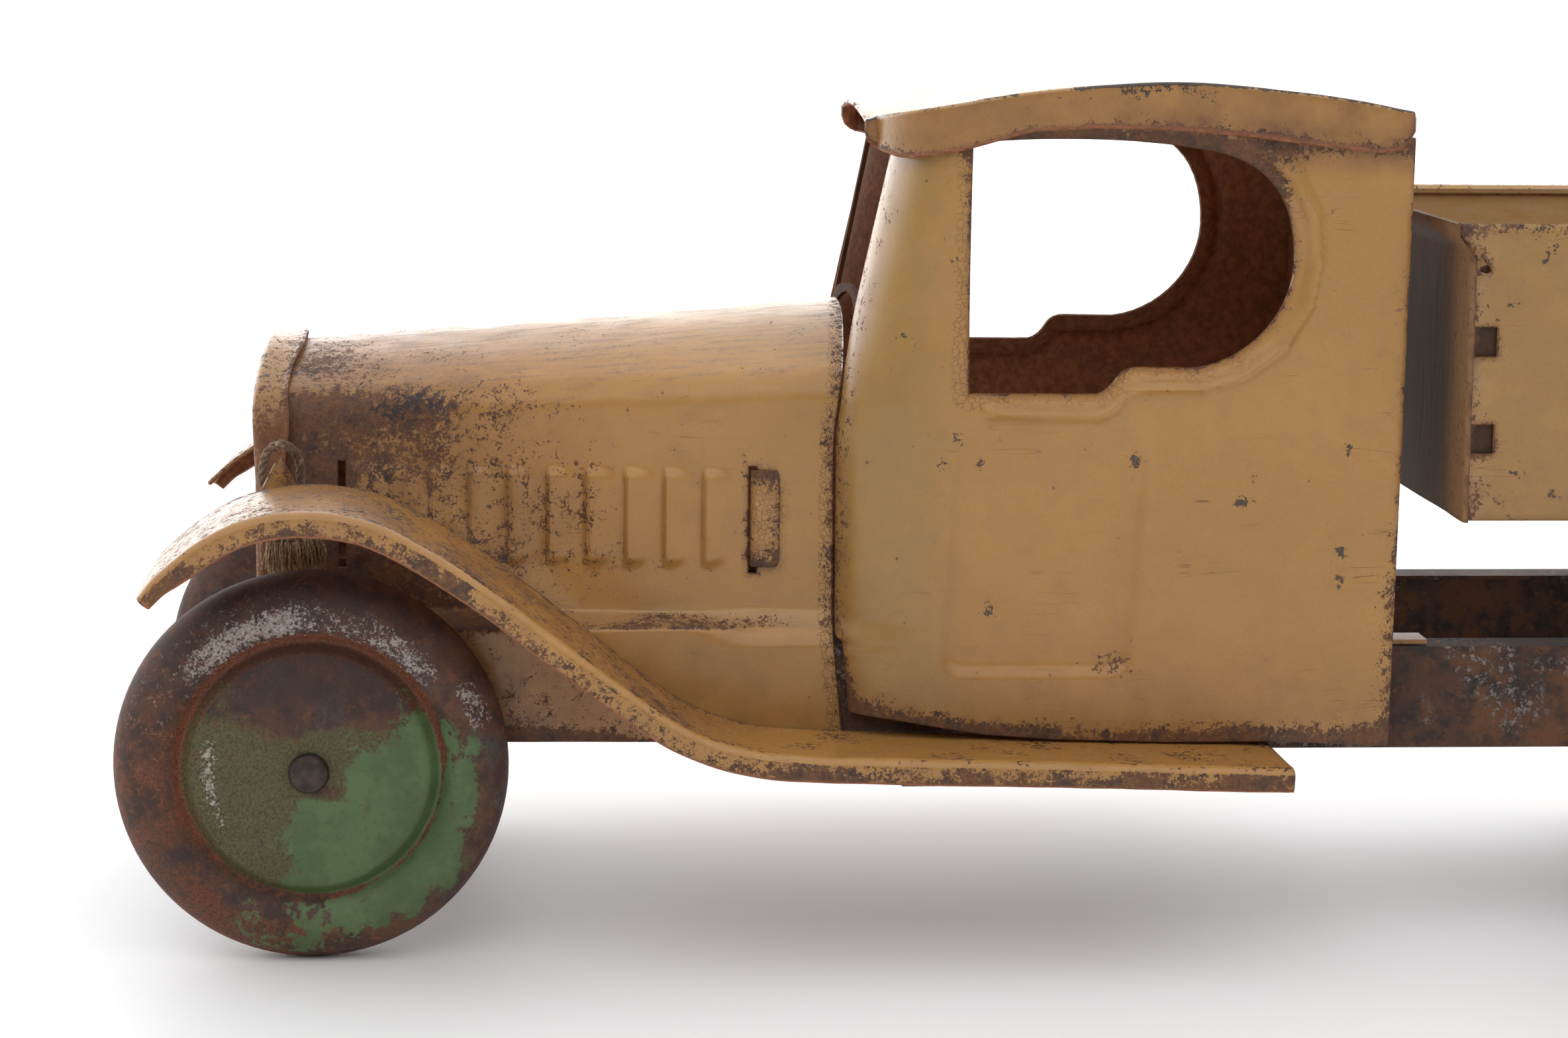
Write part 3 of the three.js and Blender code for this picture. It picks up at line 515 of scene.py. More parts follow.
def aged_enamel():
    """Caramel enamel, worn: haze, scuffs, craquelure, specks, rust from the edges, chips and scratches."""
    s = Shader("aged_enamel")
    big, middle = s.noise(55, 3), s.noise(8, 5, 0.62)
    fine, grain = s.noise(2.2, 5, 0.7), s.noise(0.65, 3, 0.65)
    s.colour = s.mottled(big, 0.35, 0.65, (187, 136, 71), (179, 130, 66))
    s.coat(s.step(middle, 0.46, 0.7) * 0.6, (172, 128, 76))
    olive = s.capped(s.wear("olive"), s.between(middle, 0.3, 1.0))
    s.coat(olive, (154, 126, 74))
    s.coat(s.step(grain, 0.4, 0.8) * 0.3, (146, 106, 64))
    # brown haze soaked into the paint
    haze = s.capped(s.wear("haze"), s.between(s.noise(12, 6, 0.68), -0.25, 1.6))
    s.coat(haze, (112, 72, 44))
    # lengthwise scuffs
    streak = s.noise(2.2, 6, 0.7, place=s.stretched(8, 1, 1.3))
    scuff = s.capped(s.step(streak, 0.44, 0.66), s.wear("scuff"))
    s.coat(scuff * 0.82, s.mottled(fine, 0.38, 0.6, (98, 70, 58), (152, 112, 80)))
    # paint rubbed pale on ridges, and painted highlight and sheen on lit tops, ledges and ridges
    pale_rub_and_highlight = s.capped(s.wear("pale"), s.between(streak, -0.25, 1.3))
    s.coat(pale_rub_and_highlight * 0.75, (222, 192, 148))
    # craquelure
    wander = s.node("ShaderNodeTexNoise", {"Vector": s.place, "Scale": 520.0}).outputs["Color"]
    warped = s.node(
        "ShaderNodeVectorMath", {0: s.place, 1: s.shade(wander, 0.0018)}, operation="ADD"
    ).outputs[0]
    cracks = s.node(
        "ShaderNodeTexVoronoi", {"Vector": warped, "Scale": 640.0}, feature="DISTANCE_TO_EDGE"
    ).outputs["Distance"]
    cracked = s.step(s.wear("crackle") + s.between(middle, -0.55, 0.55), 0.3, 0.7)
    crack = s.capped(s.step(cracks, 0.085, 0.015), cracked)
    s.coat(crack * 0.5, (108, 70, 42))
    # pinhead specks of rust
    dots = s.node("ShaderNodeTexVoronoi", {"Vector": s.place, "Scale": 210.0}, feature="F1")
    chance = s.step(s.node("ShaderNodeSeparateColor", {0: dots.outputs["Color"]}).outputs[0], 0.55, 1.0)
    dot_size = chance * s.between(s.wear("rust") + s.step(middle, 0.45, 0.75), 0.05, 0.15)
    dot = s.step(Signal(s, dots.outputs["Distance"]) - dot_size, 0.03, -0.02)
    s.coat(dot * 0.7, (98, 64, 42))
    # rust: from the free edges and in patches
    from_edge = s.wear("edge")
    ragged = from_edge + (s.between(middle, 1.5, -1.5) + s.between(fine, 0.8, -0.8))
    halo = s.step(from_edge + s.between(fine, 1.0, -1.0), 1.9, 0.0) * 0.55
    s.coat(halo, (118, 78, 48))
    edge_rust = s.step(ragged, 0.45, -0.55) * 0.75 + s.step(from_edge, 4.5, 0.3) * 0.16
    texture = fine * 0.75 + (middle * 0.25 + s.between(grain, -0.3, 0.3))
    areas = s.wear("rust") * s.between(s.noise(17, 4, 0.6), 0.4, 1.6)
    rust = s.speckle(texture, s.maths("ADD", areas, edge_rust, clamp=True), 0.06)
    s.coat(s.capped(rust, s.between(fine, 0.5, 1.25)), s.rust_colours())
    # chips through to dark primer, some with bare grey inside
    flake = s.noise(1.5, 4, 0.65, warp=0.4)
    chip = s.speckle(flake, s.wear("chip"), 0.03)
    s.coat(chip * 0.9, s.mottled(flake, 0.64, 0.72, (46, 40, 42), (92, 92, 96)))
    # hairline scratches
    lines = []
    for turn, reach, shift in (((0, 0.35, 0), 16, 0.1), ((0, -0.5, 0), 12, 0.7), ((0, 1.1, 0), 14, 1.3)):
        ripples = s.noise(5, 1, 0.4, place=s.stretched(reach, 1, 1, turn=turn, shift=(shift, 0, 0)))
        thin = s.step(s.maths("ABSOLUTE", ripples - 0.5), 0.005, 0.001)
        lines.append(thin * s.step(s.noise(18, 2, place=s.stretched(shift=(shift, 0, 0))), 0.58, 0.68))
    scratch = s.maths("MAXIMUM", s.maths("MAXIMUM", lines[0], lines[1]), lines[2])
    scratch = scratch * s.between(s.wear("scratch"), 0.15, 0.8)
    s.coat(scratch, (108, 74, 48))
    # painted shade, with grime, on the inside and under faces
    dark = s.capped(s.wear("dark"), s.between(middle, 0.8, 1.15))
    s.coat(dark, s.mottled(fine, 0.35, 0.65, (122, 74, 48), (168, 106, 68)))
    worn = s.maths("MAXIMUM", s.maths("MAXIMUM", rust, dark), scuff * 0.3)
    roughness = s.between(worn, 0.26, 0.7) + s.between(middle, -0.05, 0.1)
    hollows = (crack + (chip + scratch)) * -0.45
    height = rust * s.between(grain, -0.7, 0.35) + hollows
    height = height + (fine * 0.16 + streak * s.wear("scuff") * 0.5)
    return s.finish(roughness, height, 0.14)


def rusted_steel():
    """Dark channel steel with orange rust and grey flaking."""
    s = Shader("rusted_steel")
    middle, fine = s.noise(7, 5, 0.65), s.noise(1.3, 4, 0.7)
    s.colour = s.mottled(middle, 0.38, 0.6, (46, 34, 29), (80, 54, 40))
    s.coat(s.step(s.noise(24, 5, 0.7), 0.5, 0.62), (100, 64, 38))
    s.coat(s.step(s.noise(3.0, 5, 0.75), 0.54, 0.66), (104, 60, 36))
    flake = s.step(s.noise(1.6, 5, 0.75), 0.5, 0.58) * s.step(s.noise(17, 3, 0.5), 0.5, 0.62)
    s.coat(flake * 0.7, (142, 132, 126))
    pit = s.step(fine, 0.42, 0.3)
    s.coat(pit * 0.75, (30, 22, 22))
    height = fine + flake * 0.6
    return s.finish(s.between(middle, 0.62, 0.9), height, 0.3)


def axle_steel():
    """Turned rod gone brown, with grey worn patches."""
    s = Shader("axle_steel")
    ring = s.noise(1.1, 4, 0.6, place=s.stretched(1, 0.25, 1))
    patch = s.noise(6, 4, 0.6)
    s.colour = s.mottled(patch, 0.4, 0.6, (70, 52, 44), (112, 102, 96))
    s.coat(s.step(ring, 0.5, 0.7) * 0.6, (96, 58, 38))
    return s.finish(s.between(patch, 0.65, 0.42), ring, 0.12, Metallic=0.55)


def streaked_steel():
    """Grey steel streaked up and down, fading into caramel paint at its corners; painted shade behind."""
    s = Shader("streaked_steel")
    streak = s.noise(1.3, 6, 0.74, place=s.stretched(1, 1, 14))
    fine, soft = s.noise(1.8, 5, 0.7), s.noise(5, 5, 0.62, place=s.stretched(1, 1, 5))
    s.colour = s.mottled(streak, 0.34, 0.68, (56, 43, 36), (130, 108, 92))
    s.coat(s.step(s.noise(10, 4, 0.6), 0.38, 0.64) * 0.6, (108, 78, 56))
    left = s.step(s.wear("paint") + (s.between(soft, -0.3, 0.3) + s.between(streak, -0.2, 0.2)), 0.12, 0.9)
    s.coat(left * 0.85, s.mottled(fine, 0.5, 0.68, (156, 118, 78), (108, 76, 52)))
    ragged = s.wear("edge") + s.between(s.noise(7, 4), 2.2, -2.2)
    rust = s.capped(s.step(ragged, 1.6, -0.6), s.between(fine, 0.5, 1.1))
    s.coat(rust, s.rust_colours())
    # painted shade where the dark attribute is set, on the face hidden behind the wall
    s.coat(s.wear("dark"), s.mottled(fine, 0.35, 0.65, (44, 26, 18), (66, 38, 24)))
    rough = s.between(streak, 0.42, 0.6) + left * 0.15
    return s.finish(rough, streak + fine * 0.4, 0.12, Metallic=0.2)


def wheel_paint():
    """Pressed wheel: rusted rim, white primer flakes, green enamel left on the lower part."""
    s = Shader("wheel_paint")
    middle, fine, grain = s.noise(6.5, 5, 0.65), s.noise(1.9, 6, 0.74), s.noise(0.7, 3, 0.7)
    cloud = s.noise(13, 4, 0.6)
    s.colour = s.mottled(middle, 0.36, 0.64, (62, 42, 35), (94, 62, 46))
    s.coat(s.step(cloud, 0.5, 0.68), s.mottled(grain, 0.3, 0.7, (58, 48, 46), (86, 72, 68)))
    s.coat(s.step(s.noise(3.4, 6, 0.72), 0.52, 0.68) * 0.8, (120, 72, 46))
    rough_mix = fine * 0.55 + middle * 0.45
    orange = s.speckle(rough_mix, s.wear("orange"), 0.12)
    s.coat(orange * 0.88, s.mottled(grain, 0.35, 0.65, (92, 48, 30), (132, 74, 42)))
    soot = s.capped(s.wear("dark"), s.between(middle, 0.5, 1.3))
    s.coat(soot * 0.75, (48, 34, 28))
    patchy = s.noise(2.2, 6, 0.74, warp=0.2) * 0.6 + cloud * 0.4
    olive = s.speckle(patchy, s.wear("olive"), 0.14)
    s.coat(olive * 0.75, s.mottled(grain, 0.35, 0.65, (70, 64, 38), (96, 98, 58)))
    green = s.speckle(patchy, s.wear("green"), 0.045)
    leaf = s.mottled(s.noise(11, 4), 0.38, 0.62, (70, 94, 54), (84, 108, 64))
    leaf = s.mix(s.step(fine, 0.52, 0.66) * 0.55, leaf, srgb(72, 72, 42))
    s.coat(green * 0.95, leaf)
    flakes = s.noise(1.9, 6, 0.8, warp=0.3)
    white = s.speckle(flakes * 0.9 + s.between(grain, -0.2, 0.4), s.wear("white"), 0.05)
    white = white * s.step(s.wear("white"), 0.14, 0.34)
    s.coat(
        s.capped(white, s.between(fine, 0.2, 1.2)),
        s.mottled(grain, 0.35, 0.65, (138, 124, 114), (188, 178, 170))
    )
    pit = s.step(grain, 0.42, 0.28) * s.between(green, 0.75, 0.2)
    s.coat(pit, (40, 26, 22))
    roughness = s.between(middle, 0.6, 0.8) - green * 0.2
    height = fine * s.between(green, 0.9, 0.3) + (white + green) * 0.3
    return s.finish(roughness, height, 0.2)


def dull_brown():
    """Old dark paint with no gloss left."""
    s = Shader("dull_brown")
    middle, fine = s.noise(9, 4, 0.6), s.noise(1.6, 5, 0.72)
    s.colour = s.mottled(middle, 0.36, 0.64, (62, 36, 24), (84, 50, 32))
    s.coat(s.step(fine, 0.5, 0.66) * 0.6, (50, 32, 26))
    return s.finish(s.between(fine, 0.82, 0.95), fine, 0.15, **{"Specular IOR Level": 0.12})


def rivet_steel():
    """Dark rivet heads, rusty round their rims."""
    s = Shader("rivet_steel")
    fine, middle = s.noise(0.9, 5, 0.75), s.noise(3, 4, 0.6)
    s.colour = s.mottled(middle, 0.38, 0.62, (56, 46, 43), (80, 67, 62))
    s.coat(s.step(s.wear("edge") + s.between(fine, 1.0, -1.0), 0.9, -0.2), (42, 30, 26))
    s.coat(s.step(fine, 0.42, 0.3), (40, 28, 24))
    return s.finish(s.between(middle, 0.5, 0.7), fine, 0.22, Metallic=0.4)


def rope_fibre():
    """Pale twisted fibre with old dirt."""
    s = Shader("rope_fibre")
    fibre, patch = s.noise(0.35, 3, 0.7, place=s.stretched(1, 1, 3)), s.noise(3, 3, 0.6)
    s.colour = s.mottled(fibre, 0.35, 0.65, (140, 110, 78), (228, 204, 164))
    dirt = s.capped(s.step(patch, 0.18, 0.5), s.wear("dirt"))
    s.coat(dirt, (80, 52, 34))
    return s.finish(0.95, fibre, 0.2, Sheen_Weight=0.3)


ENAMEL = aged_enamel()
RUSTED = rusted_steel()
AXLE = axle_steel()
DULL = dull_brown()
STREAKED = streaked_steel()
WHEEL = wheel_paint()
RIVET = rivet_steel()
ROPE = rope_fibre()

ENAMEL_WEAR = ("olive", "haze", "scuff", "pale", "crackle", "rust", "chip", "scratch", "dark")


def dress(made, material, body, nodes=(), wear=None, names=ENAMEL_WEAR):
    """Gives the piece its material and wear, and hangs it on its body in place of the CAD nodes."""
    made.data.materials.clear()
    made.data.materials.append(material)
    points, normals = places(made)
    values = wear(points, normals) if wear else {}
    for name in names:
        put(made, name, np.clip(values.get(name, 0), 0, 1))
    # a clean piece has its edge wear held back
    if "clean" in values:
        edge = np.zeros(len(points), np.float32)
        made.data.attributes["edge"].data.foreach_get("value", edge)
        put(made, "edge", edge + values["clean"])
    if nodes:
        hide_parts(*nodes)
    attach(made, body)
    return made


def pressing(name, surface, node, wear, body="chassis", thickness=SHEET):
    """An enamelled sheet that stands for one CAD node."""
    solid = Solid()
    solid.add_sheet(*surface, thickness)
    dress(solid.build(name), ENAMEL, body, [node], wear)


# ---- the remnant of pull rope, looped over the left stay's ear

ROPE_ROUTE = np.array([
    [-12.6, -56, 116], [-12.9, -55.9, 119.6], [-13, -55.9, 123.2], [-12.7, -55.9, 126.6], [-11, -55.9, 129.6],
    [-8.3, -55.9, 130.9], [-5.5, -55.9, 129.7], [-3.7, -55.9, 126.8], [-3.3, -55.9, 123], [-3.4, -55.9, 119],
    [-3.5, -55.9, 115], [-3.6, -55.9, 111], [-3.7, -55.9, 107], [-3.9, -56.1, 103.6], [-4.2, -56.4, 100.5],
])
ROPE_DIAMETER = 2.2


def twisted_rope(line):
    """Three strands laid round each other."""
    solid = Solid()
    tangent = unit(np.gradient(line, axis=0))
    aside = unit(np.cross(tangent, [0, 1, 0]))
    other = np.cross(tangent, aside)
    length = run_along(line)
    # millimetres: one strand's full turn, its distance from the rope's middle, its radius
    lay, helix, strand = 6.5, 0.58, 0.66
    rng = np.random.default_rng(5)
    for k in range(3):
        turn = length / lay * 2 * math.pi + k * 2 * math.pi / 3
        path = line + helix * (np.cos(turn)[:, None] * aside + np.sin(turn)[:, None] * other)
        radius = strand * (1 + 0.07 * np.sin(length * 2.1 + k) + rng.uniform(-0.04, 0.04, len(line)))
        solid.add(*tube(path, radius, 9))
    return solid, length[-1]


def stray_fibres(line, count, seed):
    """Short hairs standing off the rope."""
    solid = Solid()
    rng = np.random.default_rng(seed)
    tangent = unit(np.gradient(line, axis=0))
    for _ in range(count):
        k = rng.integers(2, len(line) - 2)
        away = unit(np.cross(tangent[k], rng.normal(size=3)))
        start = line[k] + away * ROPE_DIAMETER * 0.4
        reach = rng.uniform(0.7, 1.7)
        bend = tangent[k] * rng.uniform(-1, 1) * reach
        hair = np.array([start, start + away * reach * 0.5 + bend * 0.3, start + away * reach * 0.7 + bend])
        solid.add(*tube(spline(hair, 5), np.linspace(0.07, 0.03, 5), 3))
    return solid


def frayed_tuft():
    """The rope's unlaid end: a brush of fibres hanging behind the fender."""
    solid = Solid()
    rng = np.random.default_rng(11)
    for _ in range(240):
        share = rng.uniform(0, 1)
        start = np.array([lerp(-9.5, -1.6, share), -56.8 + rng.normal() * 0.8, rng.uniform(107.5, 111)])
        spread = lerp(-12.2, 3.0, share) + rng.normal() * 0.7
        end = np.array([spread, -57.4 + rng.normal() * 1.1, rng.uniform(95.8, 99.5) + 1.4 * share])
        middle = (
            (start + end) / 2 + rng.normal(size=3) * 0.45 + np.array([0.35 * (end[0] - start[0]), 0, 1.2])
        )
        hair = spline([start, middle, end + rng.normal(size=3) * 0.3], 7)
        solid.add(*tube(hair, np.linspace(0.3, 0.09, 7), 4))
    return solid


rope_line = spline(ROPE_ROUTE, 110)
rope_solid, rope_length = twisted_rope(rope_line)
pull_rope = rope_solid.build("pull_rope_strands", 60)


def rope_wear(points, _):
    return {"dirt": 0.8 + 0.2 * smooth(points[:, 0], -11, -4) * smooth(points[:, 2], 112, 120)}


def tuft_wear(points, _):
    return {"dirt": smooth(points[:, 0], -4, 3) * 0.5}


dress(pull_rope, ROPE, "chassis", ["pull_rope"], rope_wear, ("dirt",))
hairs = stray_fibres(rope_line, 220, 8).build("pull_rope_hairs", 60)
dress(hairs, ROPE, "chassis", (), rope_wear, ("dirt",))
tuft = frayed_tuft().build("pull_rope_tuft", 60)
dress(tuft, ROPE, "chassis", (), tuft_wear, ("dirt",))
tuple(row(ROPE_ROUTE[0]))
row(rope_line).tolist()


# ---- hood

HOOD_FRONT, HOOD_REAR = -12.0, 134.6
HOOD_BEND, HOOD_BEND_DEGREES = 10, 61
LEDGE, LEDGE_HALF = 83.2, 63.1
LEDGE_RISE = [
    [0, 78.2], [0.2, 81.6], [0.32, 83], [0.42, 83.8], [0.6, 84.6], [0.76, 85.5], [0.86, 86.4], [1, 88.2]
]
COWL = [[55, 137.9], [80, 135.4], [134, 135.4], [151, 137.7], [169.6, 141.4], [205.8, 149.4], [230, 154.2]]
SLOTS = [(5.2, 7.8), (112.6, 115.2)]
SLOT_Z = (96.5, 125.5)
# from here back the hood's grid bends to meet the cowl
COWL_START = 116
LOUVRE_FIRST, LOUVRE_PITCH, LOUVRE_WIDTH, LOUVRE_DEPTH = 9.6, 10.2, 8.2, 1.75


def hood_section(x):
    """Sizes of the hood's section at each x: side half-width, crown height, shoulder height."""
    t = (x - HOOD_FRONT) / (HOOD_REAR - HOOD_FRONT)
    side, crown = lerp(41.5, 56.6, t), lerp(151.8, 163.9, t)
    return side, crown, crown - lerp(8.6, 12.8, t)


def hood_rows():
    """Where the grid's rows lie on the section: (part, place) from the left foot up to the crown.

    Part 0 is the foot, 1 the ledge, 2 the side, 3 the top of the side, 4 the bend, 5 the crown.
    """
    rows = [(0, z) for z in np.linspace(53.8, LEDGE - 5, 18)]
    rows += [(1, t) for t in np.linspace(0, 1, 25)[1:]]
    rows += [(2, z) for z in np.arange(89.2, 128.3, 0.8)]
    for part, count in ((3, 9), (4, 15), (5, 30)):
        rows += [(part, t) for t in np.linspace(0, 1, count)[1:]]
    return rows


def hood_point(x, part, at, grow=0.0):
    """Half-width and height on the hood's left half, for arrays of x."""
    side, crown, shoulder = hood_section(x)
    side, crown, low = side + grow, crown + grow, LEDGE_HALF + grow
    ones = np.ones_like(x)
    centre_z = shoulder - HOOD_BEND * math.sin(math.radians(HOOD_BEND_DEGREES))
    if part == 0:
        return low * ones, at * ones
    if part == 1:
        fade = smooth(x, 94, 118)
        width = lerp(low, side, lerp(smooth(at, 0.3, 0.86), smooth(at, 0, 1), fade))
        return width, lerp(along(LEDGE_RISE, at), LEDGE - 5 + 10 * at, fade)
    if part == 2:
        return side, at * ones
    if part == 3:
        return side, lerp(127.8, centre_z, at)
    if part == 4:
        angle = math.radians(HOOD_BEND_DEGREES * at)
        return side - HOOD_BEND + HOOD_BEND * math.cos(angle), centre_z + HOOD_BEND * math.sin(angle)
    turn_in = side - 5.13
    share = 1 - at
    return turn_in * share, crown - (crown - shoulder) * share ** 2


def louvre_rise(x, z):
    """Pressed louvres: proud at the front edge, sloping down to the rear, with rounded ends."""
    k = np.clip(np.floor((x - LOUVRE_FIRST + 1.0) / LOUVRE_PITCH), 0, 9)
    u = x - LOUVRE_FIRST - k * LOUVRE_PITCH
    ramp = smooth(u, -0.9, 0.5) * fall(u, 0.6, LOUVRE_WIDTH) ** 0.9
    round_end = 2.5 * np.clip(u / LOUVRE_WIDTH, 0, 1) ** 2
    low = smooth(z, 97.0 + round_end, 100.6 + round_end)
    high = fall(z, 121.8 - round_end * 0.6, 124.8 - round_end * 0.6)
    faded = along([[0, 0.6], [3, 0.8], [4, 1], [9, 0.95]], k)
    return LOUVRE_DEPTH * ramp * low * high * faded


def louvre_seam(x, z):
    """Dirt that gathers in front of each louvre's raised edge."""
    u = (x - LOUVRE_FIRST + 1.6) % LOUVRE_PITCH - 1.0
    return bell(u, 0, 0.75) * smooth(z, 98, 102) * fall(z, 121, 124) * (x > 8) * (x < 106)


def hood_surface():
    front_slot, rear_slot = SLOTS
    before = [np.linspace(HOOD_FRONT, front_slot[0], 13), np.linspace(*front_slot, 4)]
    after = [np.linspace(*rear_slot, 4), np.linspace(COWL_START, HOOD_REAR, 18)]
    fixed = [HOOD_FRONT, 0, *front_slot, *rear_slot, 120]
    ticks = np.concatenate([*before, np.arange(8.4, 112.2, 0.62), *after, fixed])
    xs = np.unique(np.round(ticks, 4))
    rows = hood_rows()
    points = np.zeros((len(xs), 2 * len(rows) - 1, 3))
    for j, (part, at) in enumerate(rows):
        width, height = hood_point(xs, part, at)
        front = lerp(HOOD_FRONT, -8.8, fall(height, 86, 90))
        rear = along(COWL, height) - 0.75
        place = np.where(xs < 0, front + (xs - HOOD_FRONT) / -HOOD_FRONT * -front, xs)
        share = (xs - COWL_START) / (HOOD_REAR - COWL_START)
        place = np.where(xs > COWL_START, COWL_START + share * (rear - COWL_START), place)
        lifted = width + (louvre_rise(place, height) if part == 2 else 0)
        points[:, j] = np.stack([place, -lifted, height], 1)
        points[:, -1 - j] = np.stack([place, lifted, height], 1)
    # the pressing is uneven: soft waves on the sides and top
    flat = points.reshape(-1, 3)
    push = unit(flat * np.array([0, 1, 1]) - np.array([0, 0, 100]))
    quiet = smooth(flat[:, 0], HOOD_FRONT, 20) * fall(flat[:, 0], 110, HOOD_REAR)
    wave = 0.22 * ripple(flat, 42, 3) + 0.12 * ripple(flat, 17, 4)
    flat += push * (wave * quiet)[:, None]
    points = flat.reshape(points.shape)
    heights = np.array([at if part == 2 else -1 for part, at in rows])
    heights = np.concatenate([heights, heights[-2::-1]])
    cell_z = (heights[:-1] + heights[1:]) / 2
    cell_x = (xs[:-1] + xs[1:]) / 2
    in_slot = np.zeros((len(xs) - 1, len(heights) - 1), bool)
    for low, high in SLOTS:
        columns = (cell_x > low) & (cell_x < high)
        tall = (cell_z > SLOT_Z[0]) & (cell_z < SLOT_Z[1]) & (heights[:-1] > 0) & (heights[1:] > 0)
        in_slot |= columns[:, None] & tall[None, :]
    return flat, grid_faces(*points.shape[:2], ~in_slot)


def facing_axis(p, n, height):
    """1 where a surface faces the truck's lengthwise line at that height, -1 where it faces away."""
    return -(n * unit(p * [0, 1, 1] - np.array([0, 0, height]))).sum(1)


def hood_wear(p, n):
    x, y, z = p.T
    top = smooth(n[:, 2], 0.45, 0.9)
    diagonal = x + 0.4 * (z - 120) + 8 * ripple(p, 34, 21)
    nose = fall(diagonal, -12, 74)
    louvres = smooth(z, 94, 99) * fall(z, 122, 127) * (x > 10) * (1 - top)
    ledge_top = smooth(n[:, 2], 0.5, 0.8) * (np.abs(z - 86) < 3)
    rust = (
        0.45 * nose * smooth(z, 82, 92) * (1 - 0.55 * top) * (1 - 0.3 * louvres)
        + 0.2 * fall(x, 40, 110) * (1 - top)
    )
    rust += (
        0.12 * (bell(z, 99, 4) + bell(z, 124, 3)) * (x < 112) + 0.1 * louvre_seam(x, z)
        + 0.14 * blob(p, [66, y.mean(), 112], [12, 999, 12])
    )
    rust += 0.3 * blob(p, [16, y.mean(), 139], [26, 999, 8])
    rust += (
        0.46 * ledge_top * patches(p, 26, 17, -0.9, 0.4) * (x > 20)
        + 0.3 * bell(z, 85, 3.2) * smooth(x, 76, 30) + 0.3 * fall(z, 55, 78) * fall(x, 50, 100)
    )
    rust += 0.5 * fall(z, 54, 60) * fall(x, 60, 120) + 0.4 * bell(x, 116, 3.4) * bell(z, 112, 16)
    rust += 0.22 * top * (1 - 0.5 * smooth(x, 40, 110)) * (0.6 + 0.5 * ripple(p, 26, 6)) + 0.1
    band = fall(along(COWL, z) - x, 3.0, 5.5)
    chips = (
        0.38 * nose * patches(p, 24, 10, 0.2, 0.9) * smooth(z, 130, 145)
        + 0.3 * top * patches(p, 20, 9, 0.2, 1.0) + 0.5 * blob(p, [22, -50, 138], [12, 30, 5])
        + 0.42 * blob(p, [30, -46, 143], [10, 30, 4])
    )
    chips += 0.36 * blob(p, [60, -50, 140], [16, 30, 3]) + 0.3 * bell(z, 118, 5) * (x < 40) * (x > 14)
    inner = smooth(facing_axis(p, n, 90), 0.1, 0.6)
    return {
        "rust": rust + 0.25 * band, "scuff": 0.7 * top + 0.15 * smooth(z, 128, 140),
        "crackle": 0.95 * band + 0.75 * bell(x, 119, 6) * bell(z, 112, 16),
        "chip": chips,
        "haze": 0.62 * nose * (1 - 0.3 * top) * (1 + 0.25 * louvres) + 0.4 * ledge_top
            + 0.35 * fall(z, 66, 100) + 0.2 * top * fall(x, 20, 90) + 0.12 + 0.22 * fall(x, 40, 90)
            + 0.35 * louvre_seam(x, z),
        # pale on the top's rear half is a painted sheen, and along the ledge's rounded edge a painted
        # highlight
        "pale": 0.3 * top * smooth(x, 50, 120) + 0.3 * bell(z, 86, 2) * smooth(x, 40, 70),
        "olive": 0.5 * (1 - top) * smooth(x, 60, 130),
        # dark on the faces turned in toward the truck's middle: painted shade
        "scratch": 0.5, "dark": inner, "clean": 0.5 * smooth(x, 100, 125),
    }


pressing("hood_pressing", hood_surface(), "hood_shell", hood_wear)


def tab_solid(side):
    """A tab through the rear slot, folded back flat over the hood's side, its end bent and rubbed."""
    zs = np.linspace(98.8, 123.8, 27)
    profile = np.array(
        [
            [113.3, 3.4], [113.35, 1.2], [113.6, -0.2], [114.6, -1.3], [116.4, -1.75], [118.6, -1.9],
            [120.8, -1.5]
        ]
    )
    line = spline(profile, 22)
    side_y = hood_section(116.0)[0]
    points = np.zeros((len(line), len(zs), 3))
    for j, z in enumerate(zs):
        trim = 0.5 * smooth(abs(z - 111.3), 10.5, 12.5)
        points[:, j, 0] = line[:, 0] - trim * np.linspace(0, 1, len(line))
        points[:, j, 1] = -(side_y - line[:, 1] + 0.25 * math.sin(z * 0.45) * (line[:, 0] > 114))
        points[:, j, 2] = z
    solid = Solid()
    solid.add_sheet(*on_side(points.reshape(-1, 3), grid_faces(len(line), len(zs)), side), 0.9)
    return solid


def tab_wear(p, _):
    return {"rust": 0.4 + 0.3 * smooth(abs(p[:, 2] - 111), 8, 12), "pale": 0.25, "crackle": 0.8, "haze": 0.6}


for side, word in SIDES:
    tab = tab_solid(side).build(f"hood_tab_{word}_folded")
    dress(tab, ENAMEL, "chassis", [f"hood_tab_{word}"], tab_wear)


# ---- radiator shell

BAND_PROUD = 1.6
BAND_CENTRE = 105
RADIATOR_FRONT, HEM_LOW, HEM_TOP = -16.3, -9.4, -4.8


